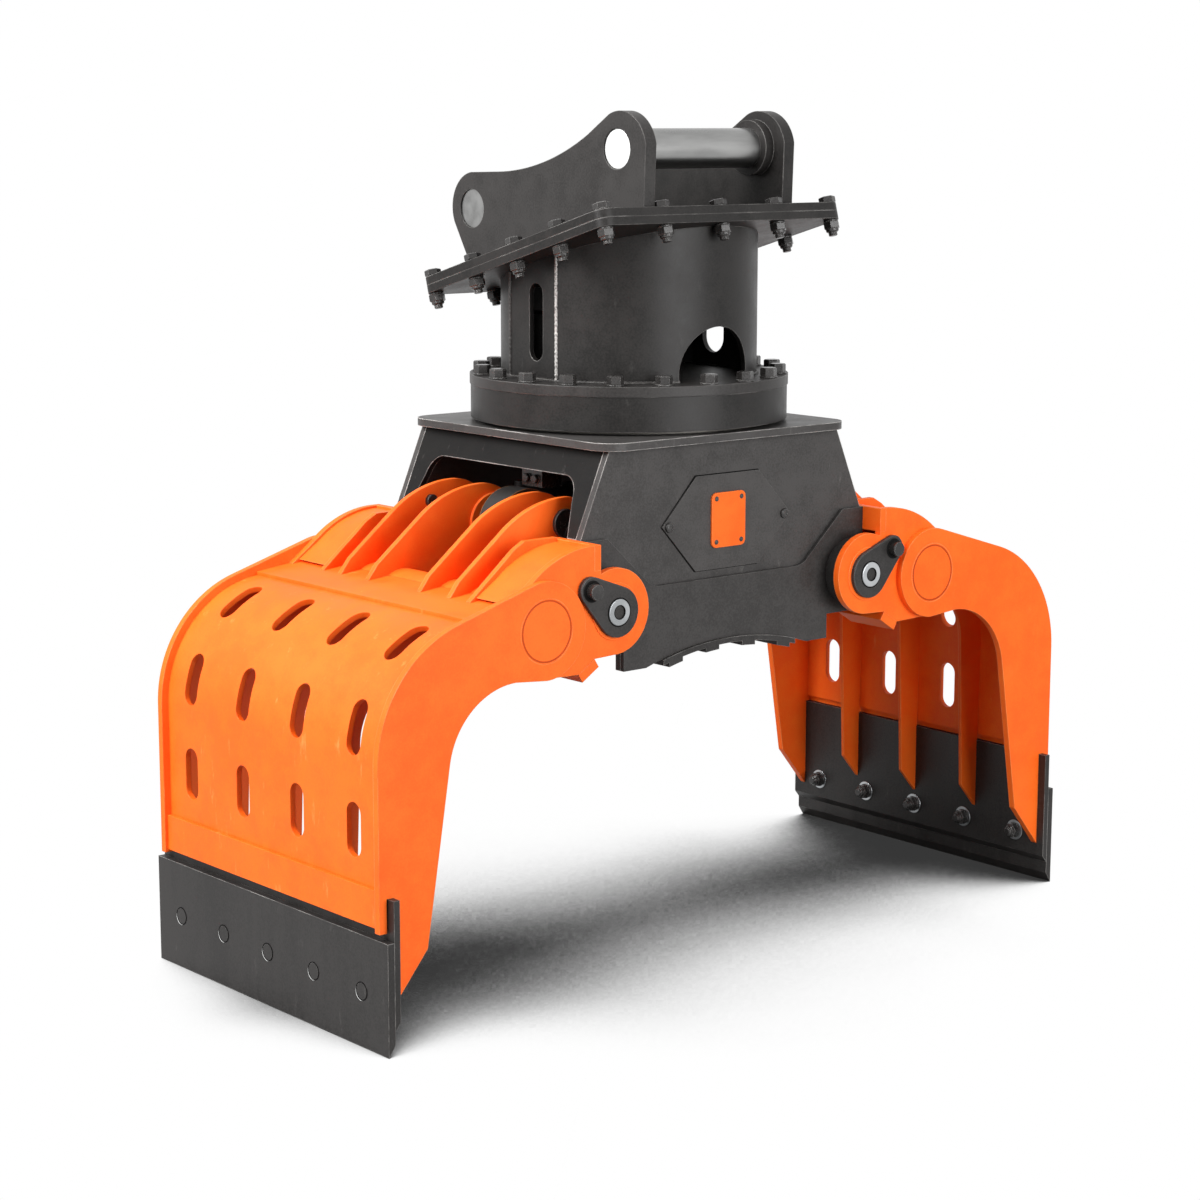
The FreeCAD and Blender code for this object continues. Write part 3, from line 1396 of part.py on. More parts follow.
def build_cylinder(name, y):
    """Barrel on the left lug pin and rod on the right one."""
    axis_z = "pivot_z + lug_z"
    left_x = "-(pivot_x + lug_x)"
    right_x = "pivot_x + lug_x"
    half = "lug_eye_width / 2"
    eye = ["-(%s)" % half, half]
    floor_x = "-(barrel_start) + barrel_floor"
    item = body("barrel_" + name, y=y, z=axis_z)
    pad(item, "eye", "XZ_Plane", [circle(left_x, "0", "lug_eye_radius")], *eye)
    pad(item, "floor", "YZ_Plane", [circle("0", "0", "barrel_radius")], "-(barrel_start)", floor_x)
    neck = rectangle(left_x, "-(lug_eye_radius) * eye_neck_share",
                     "-(barrel_start) + weld_overlap", "lug_eye_radius * eye_neck_share")
    pad(item, "neck", "XZ_Plane", [neck], "-(%s) * eye_neck_share" % half, "%s * eye_neck_share" % half)
    loops = [circle("0", "0", "barrel_radius"), circle("0", "0", "barrel_bore")]
    gland_x = "barrel_end - gland_length"
    pad(item, "tube", "YZ_Plane", loops, floor_x, gland_x)
    loops = [circle("0", "0", "barrel_radius"), circle("0", "0", "rod_radius + pin_fit")]
    pad(item, "gland", "YZ_Plane", loops, gland_x, "barrel_end")
    top = "sqrt(barrel_radius^2 - port_boss_radius^2)"
    ports = [circle("-(barrel_start) + barrel_floor + port_boss_radius", "0", "port_boss_radius"),
             circle("barrel_end - gland_length", "0", "port_boss_radius")]
    pad(item, "ports", "XY_Plane", ports, top, "barrel_radius + port_boss_height")
    pocket(item, "bore", "XZ_Plane", [circle(left_x, "0", "lug_pin_radius + pin_fit")], *eye)
    item = body("rod_" + name, y=y, z=axis_z)
    pad(item, "eye", "XZ_Plane", [circle(right_x, "0", "lug_eye_radius")], *eye)
    pad(item, "rod", "YZ_Plane", [circle("0", "0", "rod_radius")],
        floor_x + " + piston_gap", "%s - lug_eye_radius + rod_overlap" % right_x)
    pad(item, "piston", "YZ_Plane", [circle("0", "0", "barrel_bore - pin_fit")],
        floor_x + " + piston_gap", floor_x + " + piston_gap + piston_length")
    pocket(item, "bore", "XZ_Plane", [circle(right_x, "0", "lug_pin_radius + pin_fit")], *eye)


def check_and_write():
    """Stop at the first failed object, then write each body to its own file."""
    DOC.recompute()
    failed = [item.Label for item in DOC.Objects if "Invalid" in item.State or "Error" in item.State]
    if failed:
        raise RuntimeError("failed: %s" % ", ".join(failed))
    os.makedirs("parts", exist_ok=True)
    bodies = [item for item in DOC.Objects if item.TypeId == "PartDesign::Body"]
    for item in bodies:
        if item.Shape.isNull() or not item.Shape.isValid() or not item.Shape.Solids:
            raise RuntimeError("%s has no valid solid" % item.Label)
    for item in bodies:
        item.Shape.exportStep("parts/%s.step" % item.Label)
    print("%d parts written" % len(bodies))


def main():
    """Build the whole grapple."""
    fill_sheet()
    build_frame_sides()
    build_doublers()
    build_frame_ends()
    build_top_plate()
    build_belly()
    build_frame_covers()
    build_pivot_bosses()
    build_inner_ring()
    build_outer_ring()
    build_ring_bolts()
    build_slew_drive()
    build_neck()
    build_head_plates()
    build_ears()
    for side, turn in SIDES:
        build_hinge(side, turn)
        build_hinge_covers(side, turn)
        build_stops(side, turn)
        build_hooks(side, turn)
        build_tube(side, turn)
        build_back(side, turn)
        build_strips(side, turn)
        build_ribs(side, turn)
        build_blade(side, turn)
        build_lugs(side, turn)
        build_pins(side, turn)
        build_keepers(side, turn)
    for name, y in LANES:
        build_cylinder(name, y)
    check_and_write()


main()
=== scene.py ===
"""Looks of a rotating sorting grapple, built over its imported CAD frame."""

from __future__ import annotations

import json
import logging
import math
from dataclasses import dataclass, field
from enum import Enum
from typing import Iterable, Sequence

import bmesh
import bpy
from mathutils import Matrix, Vector

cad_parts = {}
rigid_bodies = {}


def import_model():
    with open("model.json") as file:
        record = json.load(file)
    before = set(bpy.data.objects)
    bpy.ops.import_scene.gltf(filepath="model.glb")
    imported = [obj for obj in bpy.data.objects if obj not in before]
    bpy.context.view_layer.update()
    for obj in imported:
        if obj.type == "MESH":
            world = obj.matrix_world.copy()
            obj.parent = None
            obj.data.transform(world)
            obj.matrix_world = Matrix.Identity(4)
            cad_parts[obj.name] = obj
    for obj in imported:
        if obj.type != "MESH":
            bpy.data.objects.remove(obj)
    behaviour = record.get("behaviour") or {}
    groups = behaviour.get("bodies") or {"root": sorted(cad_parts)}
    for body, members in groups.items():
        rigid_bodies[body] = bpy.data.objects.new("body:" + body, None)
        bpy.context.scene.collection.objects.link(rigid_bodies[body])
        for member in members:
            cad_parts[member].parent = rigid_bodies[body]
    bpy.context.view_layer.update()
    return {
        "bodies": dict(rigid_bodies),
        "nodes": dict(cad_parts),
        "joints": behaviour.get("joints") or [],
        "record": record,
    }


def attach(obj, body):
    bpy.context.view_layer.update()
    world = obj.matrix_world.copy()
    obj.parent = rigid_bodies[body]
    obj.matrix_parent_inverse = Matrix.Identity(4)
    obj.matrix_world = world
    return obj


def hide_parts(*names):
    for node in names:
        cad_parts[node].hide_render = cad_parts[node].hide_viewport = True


LOG = logging.getLogger("grapple")

Point = tuple[float, float, float]


class Body(Enum):
    """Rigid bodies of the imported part."""

    FRAME = "frame"
    HEAD = "head"
    LEFT_SHELL = "left_shell"
    RIGHT_SHELL = "right_shell"


# Shader tools


class Signal:
    """One shader socket that can be used in plain arithmetic."""

    def __init__(self, graph: "Graph", socket: bpy.types.NodeSocket) -> None:
        """Wrap a socket of a graph."""
        self.graph = graph
        self.socket = socket

    def _math(self, operation: str, first: object, second: object) -> "Signal":
        """Add one Math node and return its result."""
        node = self.graph.node("ShaderNodeMath", {"operation": operation}, {0: first, 1: second})
        return Signal(self.graph, node.outputs[0])

    def __add__(self, other: object) -> "Signal":
        """Sum."""
        return self._math("ADD", self, other)

    def __radd__(self, other: object) -> "Signal":
        """Sum with a number on the left."""
        return self._math("ADD", other, self)

    def __sub__(self, other: object) -> "Signal":
        """Difference."""
        return self._math("SUBTRACT", self, other)

    def __rsub__(self, other: object) -> "Signal":
        """Difference from a number on the left."""
        return self._math("SUBTRACT", other, self)

    def __mul__(self, other: object) -> "Signal":
        """Product."""
        return self._math("MULTIPLY", self, other)

    def __rmul__(self, other: object) -> "Signal":
        """Product with a number on the left."""
        return self._math("MULTIPLY", other, self)

    def size(self) -> "Signal":
        """Value without its sign."""
        return self._math("ABSOLUTE", self, 0.0)

    def most(self, other: object) -> "Signal":
        """Larger of two values."""
        return self._math("MAXIMUM", self, other)

    def least(self, other: object) -> "Signal":
        """Smaller of two values."""
        return self._math("MINIMUM", self, other)

    def above(self, low: float, high: float) -> "Signal":
        """Ramp smoothly from 0 at low to 1 at high."""
        node = self.graph.node(
            "ShaderNodeMapRange",
            {"interpolation_type": "SMOOTHSTEP"},
            {"Value": self, "From Min": low, "From Max": high},
        )
        return Signal(self.graph, node.outputs["Result"])


class Graph:
    """Node tree of one material or of the world."""

    def __init__(self, owner: bpy.types.Material | bpy.types.World) -> None:
        """Empty the tree of a material or world.

        Args:
            owner: Material or world that gets the nodes.
        """
        self.owner = owner
        owner.use_nodes = True
        self.tree = owner.node_tree
        self.tree.nodes.clear()

    @classmethod
    def material(cls, name: str) -> "Graph":
        """Graph of a new material."""
        return cls(bpy.data.materials.new(name))

    def node(self, kind: str, settings: dict | None = None, values: dict | None = None) -> bpy.types.Node:
        """Add a node.

        Args:
            kind: Blender's node type.
            settings: Node properties, set first.
            values: Input values or signals by socket name or index.

        Returns:
            The new node.
        """
        made = self.tree.nodes.new(kind)
        for key, value in (settings or {}).items():
            setattr(made, key, value)
        for key, value in (values or {}).items():
            socket = made.inputs[key]
            if isinstance(value, Signal):
                self.tree.links.new(value.socket, socket)
            elif isinstance(value, bpy.types.NodeSocket):
                self.tree.links.new(value, socket)
            else:
                socket.default_value = value
        return made

    def place(self) -> bpy.types.NodeSocket:
        """Object coordinates in metres."""
        return self.node("ShaderNodeTexCoord").outputs["Object"]

    def seen(self) -> Signal:
        """Share that is 1 for camera, glossy and transmission rays."""
        path = self.node("ShaderNodeLightPath")
        camera, glossy, passed = (Signal(self, path.outputs[name])
                                  for name in ("Is Camera Ray", "Is Glossy Ray", "Is Transmission Ray"))
        return camera.most(glossy).most(passed)

    def blend(self, share: Signal, first: bpy.types.Node, second: bpy.types.Node) -> bpy.types.Node:
        """Blend two shaders by a share."""
        return self.node("ShaderNodeMixShader", None, {0: share, 1: first.outputs[0], 2: second.outputs[0]})

    def close(self, kind: str, surface: bpy.types.Node) -> bpy.types.Material | bpy.types.World:
        """End the tree with an output node and return its owner."""
        self.node(kind, None, {"Surface": surface.outputs[0]})
        return self.owner

    def noise(self, scale: float, detail: float = 3.0, stretch: Point = (1, 1, 1),
              rough: float = 0.5) -> Signal:
        """Noise between 0 and 1.

        Args:
            scale: Cells per metre.
            detail: Octaves.
            stretch: Factor on each axis.
            rough: Weight of the fine octaves.

        Returns:
            The noise value.
        """
        mapping = self.node("ShaderNodeMapping", None, {"Vector": self.place(), "Scale": stretch})
        made = self.node(
            "ShaderNodeTexNoise",
            None,
            {"Vector": mapping.outputs[0], "Scale": scale, "Detail": detail, "Roughness": rough},
        )
        return Signal(self, made.outputs["Fac"])

    def mix(self, share: object, first: object, second: object) -> bpy.types.NodeSocket:
        """Blend two colours by a share."""
        made = self.node("ShaderNodeMix", {"data_type": "RGBA"}, {0: share, 6: first, 7: second})
        return made.outputs[2]

    def edges(self, radius: float) -> Signal:
        """Mask of outer and inner edges, 0 on flat faces."""
        bevel = self.node("ShaderNodeBevel", {"samples": 6}, {"Radius": radius})
        geometry = self.node("ShaderNodeNewGeometry")
        dot = self.node(
            "ShaderNodeVectorMath",
            {"operation": "DOT_PRODUCT"},
            {0: bevel.outputs[0], 1: geometry.outputs["True Normal"]},
        )
        return 1 - Signal(self, dot.outputs["Value"])

    def soft_normal(self, radius: float, height: Signal, strength: float,
                    distance: float) -> bpy.types.NodeSocket:
        """Rounded-edge normal with a bump on it."""
        bevel = self.node("ShaderNodeBevel", {"samples": 6}, {"Radius": radius})
        bump = self.node(
            "ShaderNodeBump",
            None,
            {"Strength": strength, "Distance": distance, "Height": height, "Normal": bevel.outputs[0]},
        )
        return bump.outputs[0]

    def finish(self, **sockets: object) -> bpy.types.Material:
        """Close the tree with a Principled surface.

        Args:
            sockets: Inputs of the surface, with underscores for blanks.

        Returns:
            The finished material.
        """
        values = {key.replace("_", " "): value for key, value in sockets.items()}
        return self.close("ShaderNodeOutputMaterial", self.node("ShaderNodeBsdfPrincipled", None, values))


def rgb(red: int, green: int, blue: int) -> tuple[float, float, float, float]:
    """Linear colour from display values.

    Args:
        red: Red from 0 to 255.
        green: Green from 0 to 255.
        blue: Blue from 0 to 255.

    Returns:
        Linear colour with full alpha.
    """

    def linear(channel: int) -> float:
        """Linear value of one channel."""
        share = channel / 255
        return share / 12.92 if share <= 0.04045 else ((share + 0.055) / 1.055) ** 2.4

    return (linear(red), linear(green), linear(blue), 1.0)


# Finishes


@dataclass(frozen=True)
class Paint:
    """Sprayed paint on welded plate, with rubbed edges that are also lightened as a painted highlight, and
    faint handling marks.
    """

    name: str
    coat: tuple[float, float, float, float]
    deep: tuple[float, float, float, float]
    # Colour of bare metal at rubbed marks and of the painted edge highlight.
    worn: tuple[float, float, float, float]
    roughness: float = 0.48
    gloss: float = 0.35
    # Strength of the rubbed marks and of the painted edge highlight.
    wear: float = 0.6
    edge: float = 0.003
    speckle: float = 0.3
    streak: Point = (1.0, 1.0, 1.0)
    scuffed: float = 0.1

    def build(self) -> bpy.types.Material:
        """Make the material."""
        return self.surface(Graph.material(self.name), self.coat, self.deep)

    def surface(self, graph: Graph, coat: object, deep: object) -> bpy.types.Material:
        """Close a graph with this paint over two given colours.

        Args:
            graph: Graph that receives the nodes.
            coat: Colour of the fresh paint.
            deep: Colour of its darker clouds.

        Returns:
            The finished material.
        """
        cloud = graph.noise(3.4, 4.0, self.streak)
        blotch = graph.noise(19.0, 6.0, self.streak, 0.66)
        grain = graph.noise(260.0, 2.0)
        scuff = graph.noise(38.0, 6.0, (1.0, 1.0, 0.3), 0.7).above(0.60, 0.76)
        edge = graph.edges(self.edge).above(0.01, 0.14)
        patches = graph.noise(9.0, 6.0, (1.0, 1.0, 1.0), 0.7).above(0.42, 0.58)
        # Edge lightening is partly rubbed paint and partly painted highlight; the 0.3 share lightens every
        # edge evenly.
        rubbed_and_highlit = edge * (0.3 + patches * 0.7) * self.wear
        share = cloud * 0.5 + blotch * 0.5 + (grain - 0.5) * self.speckle
        tone = graph.mix(share.above(0.34, 0.64), deep, coat)
        marked = graph.mix(scuff * self.scuffed * self.wear, tone, self.worn)
        colour = graph.mix(rubbed_and_highlit, marked, self.worn)
        roughness = self.roughness + (blotch - 0.5) * 0.3 + (grain - 0.5) * 0.4 * self.speckle
        normal = graph.soft_normal(self.edge, grain * self.speckle + blotch * 0.6, 0.12, 0.0012)
        return graph.finish(
            Base_Color=colour,
            Roughness=roughness,
            Specular_IOR_Level=self.gloss,
            Normal=normal,
        )


@dataclass(frozen=True)
class BandedPaint:
    """Paint of the lug ribs, whose hub in the middle and pin heads are dark."""

    paint: Paint
    dark: tuple[float, float, float, float]
    hub_half: float = 0.036
    head_face: float = 0.1885

    def build(self) -> bpy.types.Material:
        """Make the material."""
        graph = Graph.material(self.paint.name + "_hub")
        split = graph.node("ShaderNodeSeparateXYZ", None, {0: graph.place()})
        across = Signal(graph, split.outputs["Y"]).size()
        rib = (across.above(self.hub_half, self.hub_half + 0.001)
               - across.above(self.head_face, self.head_face + 0.0005))
        return self.paint.surface(graph, graph.mix(rib, self.dark, self.paint.coat),
                                  graph.mix(rib, self.dark, self.paint.deep))


@dataclass(frozen=True)
class Steel:
    """Bare or plated metal with fine machining marks."""

    name: str
    colour: tuple[float, float, float, float]
    dull: tuple[float, float, float, float]
    roughness: float = 0.28
    stretch: Point = (1.0, 1.0, 1.0)
    edge: float = 0.001

    def build(self) -> bpy.types.Material:
        """Make the material."""
        graph = Graph.material(self.name)
        smear = graph.noise(9.0, 4.0, self.stretch)
        lines = graph.noise(320.0, 2.0, self.stretch)
        colour = graph.mix(smear.above(0.3, 0.7), self.dull, self.colour)
        roughness = self.roughness + (smear - 0.5) * 0.1 + (lines - 0.5) * 0.08
        normal = graph.soft_normal(self.edge, lines, 0.04, 0.0003)
        return graph.finish(Base_Color=colour, Metallic=1.0, Roughness=roughness, Normal=normal)


@dataclass
class Finishes:
    """All materials of the grapple."""

    orange: bpy.types.Material = field(init=False)
    back: bpy.types.Material = field(init=False)
    lug: bpy.types.Material = field(init=False)
    shade: bpy.types.Material = field(init=False)
    black: bpy.types.Material = field(init=False)
    neck: bpy.types.Material = field(init=False)
    end: bpy.types.Material = field(init=False)
    rubbed_and_highlit: bpy.types.Material = field(init=False)
    cover: bpy.types.Material = field(init=False)
    doubler: bpy.types.Material = field(init=False)
    blade: bpy.types.Material = field(init=False)
    fastener: bpy.types.Material = field(init=False)
    weld: bpy.types.Material = field(init=False)
    chrome: bpy.types.Material = field(init=False)
    pin: bpy.types.Material = field(init=False)
    pin_face: bpy.types.Material = field(init=False)
    zinc: bpy.types.Material = field(init=False)
    gear: bpy.types.Material = field(init=False)
    gap: bpy.types.Material = field(init=False)

    def __post_init__(self) -> None:
        """Build every finish once."""
        shell = Paint(
            "orange_paint", coat=rgb(255, 112, 28), deep=rgb(253, 98, 18), worn=rgb(255, 176, 108),
            roughness=0.5, gloss=0.28, wear=0.6,
        )
        self.orange = shell.build()
        self.back = Paint(
            "orange_back_paint", coat=rgb(255, 112, 28), deep=rgb(253, 98, 18),
            worn=rgb(255, 168, 96), roughness=0.5, gloss=0.28, wear=0.14, edge=0.002, speckle=0.3,
            scuffed=3.5,
        ).build()
        self.lug = BandedPaint(shell, rgb(38, 36, 35)).build()
        # Darker orange: painted shade for the grooves at the cross tube's ends.
        self.shade = Paint(
            "orange_groove_painted_shade", coat=rgb(205, 74, 18), deep=rgb(186, 62, 12), worn=rgb(230, 100, 44),
            roughness=0.6, gloss=0.2, wear=0.0,
        ).build()
        light = rgb(214, 210, 206)
        self.black = Paint(
            "black_paint", coat=rgb(50, 48, 47), deep=rgb(34, 32, 31), worn=light, roughness=0.44,
            gloss=0.27, wear=0.2, edge=0.003, speckle=0.55,
        ).build()
        # Darker black: painted shade on the neck, slewing ring, tilted plates and right ear, which lie under
        # the plates and behind the left ear.
        self.neck = Paint(
            "neck_painted_shade", coat=rgb(37, 35, 34), deep=rgb(23, 22, 21), worn=light, roughness=0.42,
            gloss=0.22, wear=0.3, edge=0.003, speckle=0.5,
        ).build()
        # Darker black for the end plates: painted shade under the top plate's overhang.
        self.end = Paint(
            "frame_end_painted_shade", coat=rgb(24, 23, 22), deep=rgb(15, 14, 14), worn=light,
            roughness=0.5, gloss=0.12, wear=0.95, edge=0.0034, speckle=0.5,
        ).build()
        # Frame sides and top plate: strong edge lightening, partly rubbed paint and partly painted highlight
        # along the window rim and corners.
        self.rubbed_and_highlit = Paint(
            "black_paint_rubbed_and_highlit", coat=rgb(66, 64, 63), deep=rgb(50, 48, 47), worn=light,
            roughness=0.42, gloss=0.28, wear=0.95, edge=0.0032, speckle=0.5,
        ).build()
        self.cover = Paint(
            "cover_paint", coat=rgb(68, 66, 65), deep=rgb(54, 52, 51), worn=light, roughness=0.44,
            gloss=0.28, wear=0.2, edge=0.0015, speckle=0.5,
        ).build()
        self.doubler = Paint(
            "doubler_paint", coat=rgb(57, 55, 54), deep=rgb(42, 40, 39), worn=light,
            roughness=0.44, gloss=0.28, wear=0.2, edge=0.0015, speckle=0.5,
        ).build()
        self.blade = Paint(
            "blade_paint", coat=rgb(48, 46, 45), deep=rgb(30, 28, 27), worn=light, roughness=0.46,
            gloss=0.28, wear=0.5, edge=0.0022, speckle=0.5, streak=(1.0, 1.0, 0.2),
        ).build()
        self.fastener = Paint(
            "fastener_black", coat=rgb(46, 44, 43), deep=rgb(30, 28, 27), worn=light,
            roughness=0.26, gloss=0.5, wear=0.4, edge=0.001, speckle=0.3,
        ).build()
        # Light grey beads: rubbed bare metal, lightened also as a painted highlight along the neck's front
        # corners.
        self.weld = Paint(
            "weld_rubbed_and_highlit", coat=rgb(150, 146, 142), deep=rgb(56, 53, 52), worn=rgb(245, 242, 238),
            roughness=0.32, gloss=0.5, wear=1.0, edge=0.002, speckle=1.3,
        ).build()
        self.chrome = Steel(
            "chrome_rod", colour=rgb(225, 225, 228), dull=rgb(190, 192, 196), roughness=0.10,
        ).build()
        self.pin = Steel(
            "ground_pin", colour=rgb(160, 160, 159), dull=rgb(136, 136, 135), roughness=0.3,
            stretch=(0.6, 3.0, 3.0),
        ).build()
        # Steel raised to near white: painted reflection on the pin ends and painted highlight on the bolt
        # crescents.
        self.pin_face = Steel(
            "white_steel_painted_reflection", colour=rgb(252, 252, 251), dull=rgb(236, 236, 235), roughness=0.5,
        ).build()
        self.zinc = Steel(
            "zinc_screw", colour=rgb(188, 190, 192), dull=rgb(150, 153, 155), roughness=0.3,
        ).build()
        self.gear = Steel(
            "gear_steel", colour=rgb(120, 117, 112), dull=rgb(84, 82, 79), roughness=0.42,
        ).build()
        self.gap = Paint(
            "dark_gap", coat=rgb(20, 19, 19), deep=rgb(12, 12, 12), worn=rgb(30, 28, 28),
            roughness=0.8, gloss=0.1, wear=0.0,
        ).build()


# Mesh tools


def mesh_object(name: str, mesh: bpy.types.Mesh, material: bpy.types.Material) -> bpy.types.Object:
    """Put a mesh in the scene with one material."""
    mesh.materials.clear()
    mesh.materials.append(material)
    made = bpy.data.objects.new(name, mesh)
    bpy.context.scene.collection.objects.link(made)
    return made


def from_bmesh(name: str, form: bmesh.types.BMesh, material: bpy.types.Material) -> bpy.types.Object:
    """Turn a bmesh into an object with outward faces."""
    bmesh.ops.recalc_face_normals(form, faces=form.faces[:])
    mesh = bpy.data.meshes.new(name)
    form.to_mesh(mesh)
    form.free()
    return mesh_object(name, mesh, material)


def loft(form: bmesh.types.BMesh, rings: Sequence[Sequence[Point]], place: Matrix | None = None) -> None:
    """Add a closed solid through rings of equal length.

    Args:
        form: Mesh that receives the solid.
        rings: Rings of points from one end to the other.
        place: Transform of the points.
    """
    turn = place if place is not None else Matrix.Identity(4)
    rows = [[form.verts.new(turn @ Vector(point)) for point in ring] for ring in rings]
    count = len(rows[0])
    for low, high in zip(rows, rows[1:]):
        for index in range(count):
            after = (index + 1) % count
            form.faces.new((low[index], low[after], high[after], high[index]))
    form.faces.new(rows[0][::-1])
    form.faces.new(rows[-1])


def arc(middle: Sequence[float], radius: float, start: float, end: float,
        steps: int) -> list[tuple[float, float]]:
    """Points of an arc in a plane, both ends included."""
    turns = (start + (end - start) * step / steps for step in range(steps + 1))
    return [(middle[0] + radius * math.cos(turn), middle[1] + radius * math.sin(turn)) for turn in turns]


def polygon(radius: float, sides: int, height: float, phase: float = 0.0) -> list[Point]:
    """Ring of points on a circle at one height."""
    steps = (phase + 2 * math.pi * index / sides for index in range(sides))
    return [(radius * math.cos(angle), radius * math.sin(angle), height) for angle in steps]


def revolve(form: bmesh.types.BMesh, profile: Sequence[tuple[float, float]], sides: int = 40,
            place: Matrix | None = None) -> None:
    """Add a turned solid from radius and height pairs, closed at both ends."""
    loft(form, [polygon(radius, sides, height) for radius, height in profile], place)


def hex_head(form: bmesh.types.BMesh, across: float, height: float, base: float = 0.0,
             place: Matrix | None = None) -> None:
    """Add a chamfered hexagon head or nut."""
    reach = across / math.sqrt(3)
    cut = 0.12 * height
    rings = [
        polygon(reach * 0.96, 6, base),
        polygon(reach, 6, base + cut * 0.5),
        polygon(reach, 6, base + height - cut),
        polygon(reach * 0.88, 6, base + height),
    ]
    loft(form, rings, place)


def along(axis: Point, origin: Point) -> Matrix:
    """Transform that lays local +Z along an axis at a point."""
    turn = Vector((0, 0, 1)).rotation_difference(Vector(axis)).to_matrix().to_4x4()
    return Matrix.Translation(Vector(origin)) @ turn


def bead(name: str, path: Sequence[Point], radius: float, material: bpy.types.Material,
         closed: bool = False) -> bpy.types.Object:
    """Weld bead with ripples along a path.

    Args:
        name: Name of the piece.
        path: Points of the joint.
        radius: Half width of the bead.
        material: Finish.
        closed: Whether the path returns to its start.

    Returns:
        The bead as a plain mesh.
    """
    points = resample([Vector(point) for point in path], radius * 0.9, closed)
    form = bmesh.new()
    rings = []
    count = len(points)
    for index, point in enumerate(points):
        before = points[index - 1] if index or closed else points[0]
        after = points[(index + 1) % count] if index < count - 1 or closed else points[-1]
        run = (after - before).normalized()
        side = run.cross(Vector((0.13, 0.21, 0.97))).normalized()
        up = side.cross(run)
        swell = radius * (1.0 + 0.16 * math.sin(index * 2.1) + 0.06 * math.sin(index * 5.3))
        ring = [point + (side * math.cos(turn) + up * math.sin(turn)) * swell
                for turn in (2 * math.pi * step / 7 for step in range(7))]
        rings.append([form.verts.new(corner) for corner in ring])
    pairs = list(zip(rings, rings[1:] + rings[:1])) if closed else list(zip(rings, rings[1:]))
    for low, high in pairs:
        for index in range(7):
            after = (index + 1) % 7
            form.faces.new((low[index], low[after], high[after], high[index]))
    if not closed:
        form.faces.new(rings[0][::-1])
        form.faces.new(rings[-1])
    made = from_bmesh(name, form, material)
    made.data.shade_smooth()
    return made


def resample(points: Sequence[Vector], step: float, closed: bool) -> list[Vector]:
    """Evenly spaced points along a chain of straight runs."""
    chain = list(points) + ([points[0]] if closed else [])
    made = []
    for start, end in zip(chain, chain[1:]):
        parts = max(1, round((end - start).length / step))
        made.extend(start.lerp(end, index / parts) for index in range(parts))
    if not closed:
        made.append(chain[-1])
    return made


# Geometry Nodes that repeat an item


